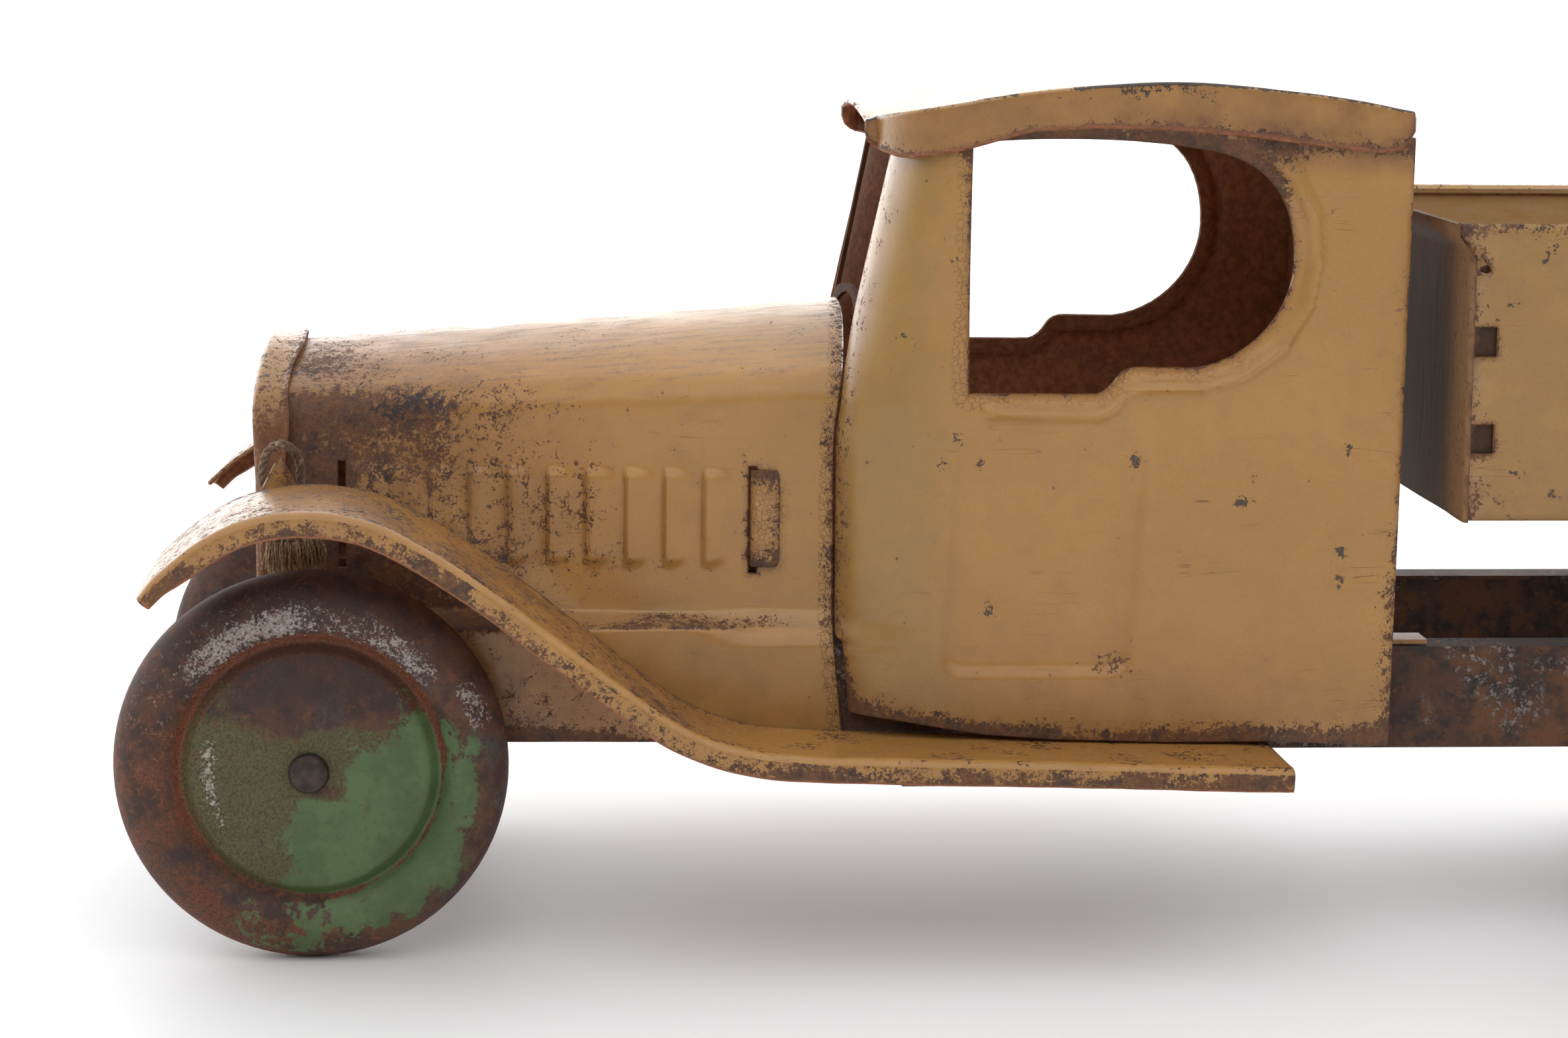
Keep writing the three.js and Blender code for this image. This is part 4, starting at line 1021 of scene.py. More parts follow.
def radiator_surface():
    """The band wrapped round the hood's nose, with a flange turned in at the front."""
    rows = [(0, z) for z in np.linspace(58, 100, 30)] + [(2, z) for z in np.arange(101, 127.5, 1.1)]
    for part, count in ((3, 10), (4, 12), (5, 30)):
        rows += [(part, t) for t in np.linspace(0, 1, count)[1:]]
    half = []
    for part, at in rows:
        if part == 0:
            half.append((hood_section(HOOD_FRONT)[0] + BAND_PROUD, at))
        else:
            width, height = hood_point(np.array([HOOD_FRONT]), part, at, BAND_PROUD)
            half.append((float(width[0]), float(height[0])))
    half = np.array(half)
    section = np.concatenate([half * [-1, 1], half[-2::-1]])
    y, z = section.T
    lean = along([[112, 0], [130, 0.45], [148, 0.5], [153, 1]], z)
    rear = lerp(HEM_LOW, HEM_TOP, lean) + 0.35 * np.sin(z * 0.31 + y * 0.05) * smooth(z, 120, 140)
    front = RADIATOR_FRONT + along([[120, 1.2], [139, 0.5], [147, 0.8], [154, 1.9]], z)
    steps = [("band", t) for t in np.linspace(0, 1, 16)]
    steps += [("bend", t) for t in np.linspace(0, 1, 6)[1:]]
    steps += [("flange", t) for t in np.linspace(0, 1, 5)[1:]]
    length = np.hypot(y, z - BAND_CENTRE)
    points = np.zeros((len(steps), len(section), 3))
    for i, (kind, t) in enumerate(steps):
        if kind == "band":
            x = lerp(rear, front + 1.6, t)
            inset = 0.45 * math.sin(math.pi * t) * smooth(z, 60, 130) - 0.5 * fall(t, 0, 0.14)
        elif kind == "bend":
            x, inset = front + 1.6 * (1 - math.sin(t * math.pi / 2)), 1.5 * (1 - math.cos(t * math.pi / 2))
        else:
            x, inset = front + 0.2 * t, lerp(1.5, 5.5, t)
        points[i, :, 0] = x
        points[i, :, 1] = y - y * inset / length
        points[i, :, 2] = np.where(z > BAND_CENTRE, z - (z - BAND_CENTRE) * inset / length, z)
    flat = points.reshape(-1, 3)
    dents = 0.3 * ripple(flat, 16, 31) * smooth(flat[:, 2], 60, 110)
    kink = 0.9 * bell(flat[:, 2], 139, 2.2)
    flat[:, 1] *= 1 - (dents * 0.4 + kink) / 45
    flat[:, 2] += dents * 0.5 * smooth(flat[:, 2], 140, 150)
    return flat, grid_faces(*points.shape[:2])


def radiator_wear(p, n):
    z = p[:, 2]
    low = fall(z + 4 * ripple(p, 18, 41), 132, 146)
    # below the top's rounded corner the band takes more rust, haze and dark, partly painted shade on the side
    # faces; pale on the top is a painted highlight; dark on the inward faces is painted shade
    return {
        "rust": 0.4 + 0.25 * low, "haze": 0.65 + 0.35 * low, "scuff": 0.4,
        "pale": 0.25 * smooth(z, 132, 150), "chip": 0.25,
        "dark": 0.45 * low + 0.8 * smooth(facing_axis(p, n, 100), 0.2, 0.6)
    }


pressing("radiator_band", radiator_surface(), "radiator_shell", radiator_wear, thickness=1.0)


# ---- cab

CAB_HALF, CORNER_END, CAB_REAR = 72.4, 171.0, 281.4
# distance round the cab's front corner
ARC = 41.3
CAB_BOTTOM = [[135, 62.3], [152, 60.6], [173, 57.3], [191, 55.9], [223, 55], [252, 55.2], [282, 53.9]]
CAB_TOP = [[160, 212], [170, 214], [184, 218], [246, 218], [262, 215], [274, 212.6], [282, 212]]
COWL_WIDTH = [[78, 64], [86, 57.6], [143, 57.6], [150, 54.4], [160, 49], [166, 47.4]]


def bezier(a, b, c, d, count):
    t = np.linspace(0, 1, count)[1:, None]
    a, b, c, d = (np.array(p, float) for p in (a, b, c, d))
    return ((1 - t) ** 3 * a + 3 * (1 - t) ** 2 * t * b + 3 * (1 - t) * t ** 2 * c + t ** 3 * d).tolist()


def curve(a, b, c, count):
    a, b, c = (np.array(p, float) for p in (a, b, c))
    return bezier(a, a + (b - a) * 2 / 3, c + (b - c) * 2 / 3, c, count)


WINDOW = [[168, 210.8], [168, 146], [201.5, 145.8]]
WINDOW += (
    curve([201.5, 145.8], [204.5, 146.5], [207, 150.6], 5)
    + curve([207, 150.6], [208.4, 152.8], [212, 152.8], 5) + [[226, 152.6]]
)
WINDOW += (
    bezier([226, 152.6], [240, 154], [251.5, 166], [252, 180], 14)
    + bezier([252, 180], [252, 198], [244, 207.5], [226, 209.4], 14)
)
WINDOW += curve([226, 209.4], [205, 213], [168, 210.8], 12)[:-1]
WINDOW = np.array(WINDOW)
WINDOW_RIM = np.vstack([WINDOW, WINDOW[:1]])


def cab_plan(run, z):
    """x and half-width of the cab side; run goes round the corner from the cowl edge, then back."""
    front, narrow = along(COWL, z), along(COWL_WIDTH, z)
    front = front + 1.7 * fall(z, 80.2, 81.4)
    angle = np.clip(run / ARC, 0, 1) * math.pi / 2
    x = np.where(run <= ARC, CORNER_END - (CORNER_END - front) * np.cos(angle), CORNER_END + run - ARC)
    width = narrow + (CAB_HALF - narrow) * np.sin(angle)
    return x, width


def run_at(x, z):
    front = along(COWL, z)
    angle = np.arccos(np.clip((CORNER_END - x) / (CORNER_END - front), 0, 1))
    return np.where(x < CORNER_END, angle / (math.pi / 2) * ARC, ARC + x - CORNER_END)


def distance_to(line, x, z):
    """Distance of each point from an open line in the XZ plane."""
    best = np.full(np.shape(x), 1e9)
    for (x0, z0), (x1, z1) in zip(line[:-1], line[1:]):
        dx, dz = x1 - x0, z1 - z0
        t = np.clip(((x - x0) * dx + (z - z0) * dz) / (dx * dx + dz * dz), 0, 1)
        best = np.minimum(best, np.hypot(x - x0 - t * dx, z - z0 - t * dz))
    return best


def rounded_box(x, z, low, high, radius):
    """Signed distance from a rounded rectangle in the XZ plane, negative inside."""
    centre, half = (np.array(low) + high) / 2, (np.array(high) - low) / 2
    dx = abs(x - centre[0]) - half[0] + radius
    dz = abs(z - centre[1]) - half[1] + radius
    return np.hypot(np.maximum(dx, 0), np.maximum(dz, 0)) + np.minimum(np.maximum(dx, dz), 0) - radius


def cab_side_relief(x, z):
    """How far the door panel and the window's surround stand in from the flat side, in millimetres."""
    skew = (z - 72) * 0.06
    door = rounded_box(x - skew, z, (161, 72.2), (212.2, 150), 7)
    recess = 1.9 * smooth(-door, -0.3, 3.2) * fall(z, 120, 140)
    moulding = distance_to(MOULDING, x, z)
    step = 1.7 * fall(moulding, 0.4, 2.6)
    rim = distance_to(WINDOW_RIM, x, z)
    turned = 1.7 * fall(rim, 0.2, 6.0) * smooth(x, 172, 186)
    return recess - step + turned


MOULDING = np.array([
    [173.8, 141.3], [186, 141], [202.2, 140.8], [205.5, 142.6], [209.4, 147.0], [214, 148], [227.3, 147.9],
    [239.7, 151],
    [249, 158], [255, 168], [257.2, 180], [256, 192], [251, 202], [243, 208.5],
])


def cab_side(side):
    zs = np.linspace(212, 81.5, 60)
    foot_front = along(CAB_BOTTOM, 138)
    front_edge = [[0, z] for z in [*zs, 80.8, *np.linspace(80, foot_front, 12)]]
    foot_runs = np.linspace(0, ARC + CAB_REAR - CORNER_END, 60)[1:]
    foot = [[run, along(CAB_BOTTOM, cab_plan(np.array(run), 60.0)[0])] for run in foot_runs]
    top = [[run, along(CAB_TOP, cab_plan(np.array(run), 212.0)[0])] for run in foot_runs[::-1]]
    outline = np.array(front_edge + foot + top)
    opening = np.stack([run_at(WINDOW[:, 0], WINDOW[:, 1]), WINDOW[:, 1]], 1)
    flat, faces = flat_panel(outline, [opening], 1.25)
    x, width = cab_plan(flat[:, 0], flat[:, 1])
    z = flat[:, 1]
    rear_lean = (z - 150) * 0.012 * smooth(x, 240, CAB_REAR)
    points = np.stack([x + rear_lean, -width, z], 1)
    sink = cab_side_relief(x, z) * smooth(x, 150, 166)
    wave = 0.16 * ripple(points, 60, 51 + (side > 0)) + 0.07 * ripple(points, 19, 52)
    away = np.minimum(smooth(x, 145, 160), fall(x, 268, 280))
    points[:, 1] += sink - wave * away
    points[:, 1] += 1.0 * smooth(x, CAB_REAR - 3.2, CAB_REAR + 0.6) ** 2
    if side > 0:
        # the right pillar stands a little further back
        points[:, 0] += 2.0 * smooth(z, 144, 158) * fall(x, 150, 168)
    return on_side(points, faces, side)


DOOR_CHIPS = [
    ([212, -72, 128.5], [3.4, 9, 3.0]), ([165.5, -72, 134.5], [1.6, 9, 3.2]),
    ([162, -72, 127.5], [1.6, 9, 2.2]), ([171.5, -72, 127.5], [1.5, 9, 2.2]),
    ([174.5, -72, 89.5], [2.2, 9, 3.2]), ([239.5, -72, 118.2], [4.2, 9, 2.0]),
    ([266, -72, 105], [2.0, 9, 2.6]), ([265.5, -72, 98], [2.0, 9, 3.0]),
    ([164, -72, 180], [1.3, 9, 3.0]), ([267, -72, 132], [1.2, 9, 3.0]), ([152, -66, 160], [2.4, 9, 1.4]),
    ([175, -72, 147], [4, 9, 1.0]),
]


def cab_wear(p, n):
    x, y, z = p.T
    y_out = np.abs(y)
    front = fall(x - along(COWL, z), 1.5, 5.2)
    foot = z - along(CAB_BOTTOM, x)
    rim = distance_to(WINDOW_RIM, x, z)
    left = np.stack([x, -y_out, z], 1)
    chips = sum(0.62 * blob(left, centre, radius) for centre, radius in DOOR_CHIPS)
    inner = smooth(n[:, 1] * np.sign(y), 0.1, -0.5) * (y_out > 40)
    corner = blob(left, [206, -72, 75.5], [9, 9, 3.2])
    rust = (
        0.3 * front * (1 - 0.4 * smooth(z, 150, 190)) + 0.62 * fall(foot + 2.0 * ripple(p, 16, 61), 0.5, 8)
        + 0.4 * corner
    )
    rust += (
        0.5 * smooth(z, 205, 210) * smooth(x, 150, 160) + 0.3 * fall(rim, 0.5, 4.5) * smooth(z, 190, 200)
        + 0.12
    )
    rust += 0.3 * bell(x, 279, 4) * fall(z, 90, 130) + 0.28 * blob(left, [246, -72, 205], [14, 9, 6])
    crackle = (
        0.8 * fall(rim, 2.0, 5.5) * (x < 172) + 0.55 * fall(rim, 1, 7) * (z < 165)
        + 0.35 * smooth(x, 266, 276) * smooth(z, 100, 130) * fall(z, 170, 200)
    )
    return {
        "rust": rust, "crackle": crackle, "chip": chips,
        "haze": 0.35 * fall(foot, 2, 30) + 0.45 * front + 0.14
            # the brown band just under the roof's skirt is painted shade as well as rust haze
            + 0.9 * smooth(z, 200, 210) * smooth(x, 190, 225),
        "clean": 0.15,
        # olive tone on the curved front corner, partly painted shade where the side turns away
        "olive": 0.85 * fall(x, 150, 172) + 0.25, "scratch": 1.0 * smooth(x, 200, 250) + 0.4,
        # dark on the faces turned inside the cab: painted shade
        "dark": inner * 0.92,
        "pale": 0.5 * fall(x - along(COWL, z), 0.4, 2.4) * smooth(z, 150, 180),
    }


for side, word in SIDES:
    pressing(f"cab_side_{word}_pressing", cab_side(side), f"cab_side_{word}", cab_wear)


# ---- roof

RIDGE = [
    [144, 215.2], [147.5, 216.9], [155, 218.6], [163, 220.1], [171.3, 221.6], [182, 223.3], [196.5, 224.9],
    [213.4, 226],
    [226, 226], [239.6, 225.1], [255.8, 223.5], [264.4, 222.2], [272.9, 220.6], [281.2, 218.7],
]
SKIRT = [
    [142.6, 212.4], [143.6, 209.6], [146, 207.5], [149.6, 206.5], [153, 206.3], [167, 209.1], [183, 213.4],
    [199.6, 214.6], [219.8, 214.1], [239.8, 212.7], [260, 210.3], [272.5, 208.7], [278.6, 209.4],
    [281.2, 214],
]


ROOF_FRONT, ROOF_REAR, ROOF_CORNER_END = 142.8, 281.2, 169
ROOF_NOSE_HALF, ROOF_HALF = 50.5, CAB_HALF + 1.7


def roof_half_width(x):
    t = np.clip((ROOF_CORNER_END - x) / 23, 0, 1)
    return ROOF_NOSE_HALF + (ROOF_HALF - ROOF_NOSE_HALF) * np.sqrt(1 - t * t)


def roof_surface():
    corner = ROOF_FRONT + 26 * (np.linspace(0, 1, 36)) ** 1.8
    xs = np.unique(np.concatenate([corner, np.arange(ROOF_CORNER_END, ROOF_REAR, 1.6), [ROOF_REAR]]))
    ridge = np.interp(xs, *np.array(RIDGE).T)
    kernel = np.ones(7) / 7
    ridge = np.convolve(np.pad(ridge, 3, mode="reflect", reflect_type="odd"), kernel, "valid")
    skirt = np.minimum(along(SKIRT, xs), ridge - 3.4)
    wide = roof_half_width(xs)
    crown, bend = along([[144, 2.6], [180, 1.6], [207, 0.9], [240, 0.3]], xs), 0.95
    half = []
    for t in np.linspace(0, 1, 9)[:-1]:
        half.append((wide, lerp(skirt, ridge - bend, t)))
    for t in np.linspace(0, 1, 7)[:-1]:
        angle = t * math.pi / 2
        half.append((wide - bend * (1 - math.cos(angle)), ridge - bend * (1 - math.sin(angle))))
    for share in np.linspace(1, 0, 40):
        flat_width = (wide - bend) * share
        half.append((flat_width, ridge + crown * (1 - share ** 2)))
    points = np.zeros((len(xs), 2 * len(half) - 1, 3))
    for j, (width, height) in enumerate(half):
        points[:, j] = np.stack([xs, -width, height], 1)
        points[:, -1 - j] = np.stack([xs, width, height], 1)
    flat = points.reshape(-1, 3)
    flat[:, 2] += 0.22 * ripple(flat, 46, 71) * smooth(flat[:, 0], 150, 175)
    # the roof sits a little lower on the right
    flat[:, 2] -= 1.5 * smooth(flat[:, 1], -30, 74) * smooth(flat[:, 0], 150, 180)
    flat[:, 0] += 1.6 * smooth(flat[:, 1], -30, 60) * fall(flat[:, 0], 146, 175)
    return flat, grid_faces(*points.shape[:2])


def roof_wear(p, n):
    x, y, z = p.T
    top = smooth(n[:, 2], 0.5, 0.9)
    side = (np.abs(y) > roof_half_width(x) - 3.4) & (n[:, 2] < 0.6)
    low = z - along(SKIRT, x)
    ridge_line = bell(z, along(RIDGE, x), 1.0) * (n[:, 2] > 0.1) * (np.abs(y) > roof_half_width(x) - 1.1)
    below = along(RIDGE, x) - z
    worn_ridge = side * fall(below + 1.5 * ripple(p, 9, 82), 2.0, 4.5) * bell(x, 212, 20)
    chips = 0.8 * ridge_line * patches(p, 22, 81, -1.2, 0.1) + 0.5 * worn_ridge + 0.14 * top
    rust = 0.42 * fall(low, 0.2, 1.8) * side + 0.16 * side + 0.2 * top + 0.2 * fall(x, 146, 156) * side
    rust += 0.28 * worn_ridge + 0.2 * side * fall(low, 1, 6) * smooth(x, 200, 230)
    # inner: the underside and inward faces, darkened as painted shade
    inner = smooth(-n[:, 2], 0.15, 0.6) + smooth(n[:, 1] * np.sign(y), -0.2, -0.6) * (np.abs(y) > 40)
    return {
        # pale on the top is a painted sheen; along the ridge line it is rubbed paint and painted highlight
        "scuff": 0.85 * top + 0.1, "pale": 0.6 * top + 0.5 * ridge_line, "chip": chips, "rust": rust,
        "haze": 0.45 * side + 0.2 + 0.4 * side * fall(low, 1, 7) * smooth(x, 190, 225), "dark": inner,
        "olive": 0.3 * side, "scratch": 0.5 * top, "clean": 0.1
    }


pressing("cab_roof_pressing", roof_surface(), "cab_roof", roof_wear)


# ---- fenders

FENDER_OUT, FENDER_IN = 104.0, 63.6
# the front's inner corner is cut back this far, fading out over this run
FENDER_CUT, FENDER_CUT_RUN = 5.5, 55
FENDER_RIDGE = [
    [-40.8, 98.7], [-38.6, 101.6], [-36, 104.4], [-28, 111], [-18, 116.9], [-8, 119.7], [1.5, 120.4],
    [11, 119.3], [20, 116.6],
    [33, 109.6], [48, 99.6], [62, 89], [76, 78.6], [88, 69.8], [98, 64], [110, 60], [124, 58.2], [160, 57],
    [205, 55.9], [249.2, 54.6],
]


def fender_line():
    line = spline(FENDER_RIDGE, 420)
    length = run_along(line)
    at = np.arange(0, length[-1], 1.5)
    return np.stack([np.interp([*at, length[-1]], length, line[:, k]) for k in range(2)], 1)


def fender_surface(side):
    ridge = fender_line()
    slope = np.arctan2(*np.gradient(ridge, axis=0).T[::-1])
    kernel = np.ones(5) / 5
    slope = np.convolve(np.pad(slope, 2, mode="edge"), kernel, "valid")
    depth = along([[-40.8, 4.2], [-35, 5.4], [-30, 6.2], [100, 6.4], [249.2, 6.1]], ridge[:, 0])
    crown = along([[60, 1.3], [110, -1], [124, -1.2]], ridge[:, 0])
    run = np.concatenate([[0], np.cumsum(np.hypot(*np.diff(ridge, axis=0).T))])
    bend = 2.6
    steps = [("skirt", t) for t in np.linspace(0, 1, 8)]
    steps += [("bend", t) for t in np.linspace(0, 1, 8)[1:]]
    steps += [("top", t) for t in np.linspace(0, 1, 26)[1:]]
    points = np.zeros((len(ridge), len(steps), 3))
    for j, (kind, t) in enumerate(steps):
        if kind == "skirt":
            out, rise = FENDER_OUT - 0.35 * (1 - t) ** 2, -(1 - t) * (depth - bend * 0.9) - bend * 0.9
        elif kind == "bend":
            angle = t * math.pi / 2
            out, rise = FENDER_OUT - bend * (1 - math.cos(angle)), -bend * 0.9 * (1 - math.sin(angle))
        else:
            out, rise = lerp(FENDER_OUT - bend, FENDER_IN, t), crown * (1 - (1 - t) ** 2)
        cut = FENDER_CUT * t * np.clip(1 - run / FENDER_CUT_RUN, 0, 1)
        travelled = run + (cut if kind == "top" else 0)
        points[:, j, 0] = np.interp(travelled, run, ridge[:, 0]) - rise * np.sin(slope)
        points[:, j, 1] = -out
        points[:, j, 2] = np.interp(travelled, run, ridge[:, 1]) + rise * np.cos(slope)
    flat = points.reshape(-1, 3)
    wave = 0.25 * ripple(flat, 38, 91 + (side > 0)) + 0.1 * ripple(flat, 13, 93)
    flat[:, 2] += wave * 0.8
    flat[:, 1] += 0.25 * ripple(flat, 30, 94)
    faces = grid_faces(*points.shape[:2])
    return on_side(flat, faces, side)


def fender_wear(p, n):
    x, y, _ = p.T
    out = FENDER_OUT - np.abs(y)
    ridge = bell(out, 1.2, 1.3) * smooth(n[:, 2], 0.0, 0.35)
    top = smooth(n[:, 2], 0.4, 0.8) * (out > 2.0)
    skirt = (out < 1.4) * (n[:, 2] < 0.35)
    under = smooth(-n[:, 2], 0.1, 0.5) + smooth(-n[:, 1] * np.sign(y), 0.2, 0.6) * (out < 4)
    board = smooth(x, 95, 125)
    areas = patches(p, 24, 95, -0.2, 0.9)
    rust = (
        skirt * (0.4 + 0.3 * areas * fall(x, 40, 90) + 0.1 * board) + 0.47 * top * (1 - 0.5 * board)
        + 0.2 * board * areas
    )
    chips = (
        0.42 * bell(out, 2.6, 1.4) * top * patches(p, 15, 96, 0.0, 0.8)
        + 0.4 * ridge * patches(p, 11, 97, -0.4, 0.6)
    )
    return {
        # pale along the ridge: rubbed paint and painted highlight
        "pale": 0.15 * ridge, "scuff": 0.5 * top * (1 - 0.6 * board), "clean": 0.3, "rust": rust,
        "chip": chips + 0.1 * skirt + 0.45 * top * patches(p, 17, 98, 0.0, 0.8),
        "haze": 0.35 + 0.25 * top - 0.4 * top * board,
        # dark on the under faces: painted shade
        "olive": 0.2 * skirt, "dark": under, "scratch": 0.3,
    }


for side, word in SIDES:
    pressing(f"fender_{word}_pressing", fender_surface(side), f"fender_{word}", fender_wear)


def stay_solid(side):
    """The fender's stay: a pointed, slightly curled ear, its foot under the fender, and a leg to the hood."""
    ear = [
        [-13.5, 106], [-3.5, 106], [-3.5, 117.5], [-5.2, 122.5], [-8.0, 127.6], [-8.8, 127.8], [-11.2, 123],
        [-13.5, 118.5]
    ]
    flat, faces = flat_panel(ear, (), 0.55)
    x, z = flat.T
    curl = 1.1 * smooth(x, -8.5, -3.5) ** 2 * smooth(z, 108, 118) - 0.5 * smooth(z, 119, 128)
    points = np.stack([x, -58.7 + curl + 0.1 * np.sin(z * 0.9), z], 1)
    strips = [(points, faces)]
    foot, foot_faces = flat_panel([[-13.5, 58.4], [-3.5, 58.4], [-3.5, 82], [-13.5, 82]], (), 1.5)
    strips.append((np.stack([foot[:, 0], -foot[:, 1], np.full(len(foot), 115.3)], 1), foot_faces[:, ::-1]))
    leg, leg_faces = flat_panel([[-9.8, 44.4], [-7.2, 44.4], [-7.2, 58.2], [-9.8, 58.2]], (), 1.2)
    strips.append((np.stack([leg[:, 0], -leg[:, 1], np.full(len(leg), 107.1)], 1), leg_faces[:, ::-1]))
    solid = Solid()
    for points, faces in strips:
        solid.add_sheet(*on_side(points, faces, side), 1.0)
    return solid


def stay_wear(p, _):
    return {
        "rust": 0.25 + 0.2 * smooth(p[:, 0], -8, -4), "haze": 0.45, "scuff": 0.5,
        "pale": 0.5 * smooth(p[:, 0], -7, -13), "dark": 0.6 * smooth(p[:, 0], -6.5, -4.5)
    }


for side, word in SIDES:
    stay = stay_solid(side).build(f"fender_stay_{word}_strap")
    dress(stay, ENAMEL, "chassis", [f"fender_stay_{word}"], stay_wear)


# ---- wheels

WHEEL_PLANE = 74.0
FACE_OUT, RIVET_RADIUS, JOINT_GAP = 10.8, 5.2, 0.35


def closed_skin(outer):
    """The disc's outline: its outer skin, the inner one a sheet behind it, and the cut edge."""
    behind = outer[::-1] - [0, SHEET]
    behind = behind[behind[:, 1] > 0.4]
    return np.concatenate([outer, behind, [[49.3, 0.2]]])


def disc_profile():
    """The outer pressed disc as (radius, outward): tyre, creased groove and shallow dome."""
    tyre = [
        [50.5, 0.2], [50.35, 1.6], [49.8, 3.3], [48.6, 5.3], [46.8, 7.1], [44.6, 8.4], [42.2, 9.1],
        [39.8, 9.1],
        [37.6, 8.4], [35.6, 7.0],
    ]
    groove = [[34.2, 5.6], [33.3, 5.0], [32.4, 5.4], [31.2, 7.0], [30.0, 8.1]]
    dome = [[27, 8.8], [22, 9.6], [16, 10.3], [10, 10.7], [5.5, FACE_OUT], [3.5, FACE_OUT]]
    return closed_skin(spline(tyre + groove + dome, 90))


def back_profile():
    """The inner pressed disc: a plain dish."""
    dish = [
        [50.5, 0.2], [50.2, 2.2], [49.1, 4.2], [46.8, 6.6], [43.6, 8.3], [40, 9], [30, 9], [18, 9], [3.5, 9]
    ]
    return closed_skin(spline(dish, 46))


def sector(theta, centre, half, soft):
    """1 within half degrees of the centre, with a soft border."""
    away = np.abs((theta - centre + 180) % 360 - 180)
    return fall(away, half - soft / 2, half + soft / 2)


def sectors(theta, *rows):
    """The sum of sectors, each given as (weight, centre, half, soft)."""
    return sum(weight * sector(theta, *shape) for weight, *shape in rows)


def ring(radius, low, high, soft=2.0):
    """1 between two radii, with soft borders."""
    return smooth(radius, low - soft / 2, low + soft / 2) * fall(radius, high - soft / 2, high + soft / 2)


def wheel_wear(centre_x, turn, front_face):
    """Wear of one wheel's disc, its pattern turned by that many degrees; back discs have less paint."""
    def wear(p, _):
        x, z = p[:, 0] - centre_x, p[:, 2] - AXLE_Z
        radius, theta = np.hypot(x, z), np.degrees(np.arctan2(z, x)) - turn
        theta = theta + 9 * ripple(p, 15, 101)
        dome, tyre = ring(radius, 3, 33), ring(radius, 34.5, 49)
        below = sector(theta, -45, 58, 34) * smooth(radius - 4 * ripple(p, 9, 102), 4, 12)
        green = dome * (
            0.78 * below + 0.42 * sector(theta, 14, 44, 40) * smooth(radius, 4, 14)
            + 0.2 * sector(theta, 190, 80, 60)
        )
        green += tyre * fall(radius + 3 * ripple(p, 8, 103), 40, 48) * 0.72 * sector(theta, -26, 42, 30)
        green += (
            tyre * sectors(theta, (0.4, -66, 36, 40), (0.3, -105, 20, 24))
            + ring(radius, 32, 36) * 0.4 * sector(theta, -35, 40, 30)
        )
        olive = dome * (
            0.62 * sector(theta, 205, 75, 60) + 0.55 * sector(theta, 45, 66, 60) * fall(z, 7, 18)
            + 0.45 * fall(z, 4, 16)
        )
        olive += tyre * (0.5 * sector(theta, -55, 66, 50)) + 0.5 * dome * below
        white = ring(radius, 35.5, 42, 5) * sectors(
            theta, (0.38, 121, 22, 26), (0.38, 54, 17, 22), (0.16, 88, 20, 20)
        )
        white += (
            ring(radius, 42, 48, 4) * 0.36 * sector(theta, 18, 6, 12)
            + ring(radius, 24, 27.5, 4) * 0.38 * sector(theta, 181, 20, 24)
        )
        white += ring(radius, 5, 49) * 0.1 + 0.12 * tyre * sector(theta, 130, 60, 60)
        orange = (
            ring(radius, 30.6, 35.4, 2.6) * (0.42 + 0.36 * sector(theta, 115, 95, 60))
            + 0.36 * ring(radius, 36, 51) * sector(theta, 205, 60, 70)
        )
        orange += (
            0.3 * ring(radius, 24, 33, 5) * sector(theta, 90, 80, 50)
            + 0.26 * ring(radius, 40, 51) * sector(theta, -90, 40, 40) + 0.18
        )
        dark = (
            0.95 * smooth(z, 6, 24) * dome + 0.85 * tyre * smooth(z, 30, 46) + 0.6 * ring(radius, 4.8, 7.5)
            + 0.4 * sector(theta, -128, 30, 30) * tyre
        )
        dark += 0.3 * tyre * sector(theta, 150, 30, 30)
        if not front_face:
            green, white, orange, olive = green * 0.2, white * 0.3, 0.35, olive * 0.5
        return {"green": green, "olive": olive, "white": white, "orange": orange, "dark": dark}
    return wear


WHEEL_WEAR = ("green", "olive", "white", "orange", "dark")
# each wheel: end, axle, side, and how far its wear is turned
WHEELS = [
    ("front", 0.0, "left", -1, 0), ("front", 0.0, "right", 1, 150),
    ("rear", REAR_AXLE_X, "left", -1, 74), ("rear", REAR_AXLE_X, "right", 1, -95),
]


def hammered(points, centre, seed, amount):
    """Small dents across the disc, none where it meets the axle."""
    away = np.hypot(points[:, 0] - centre[0], points[:, 2] - centre[2])
    dents = 0.6 * ripple(points, 23, seed) + 0.4 * ripple(points, 9, seed + 1)
    points[:, 1] += dents * amount * smooth(away, 6, 20) * fall(away, 44, 50)
    return points


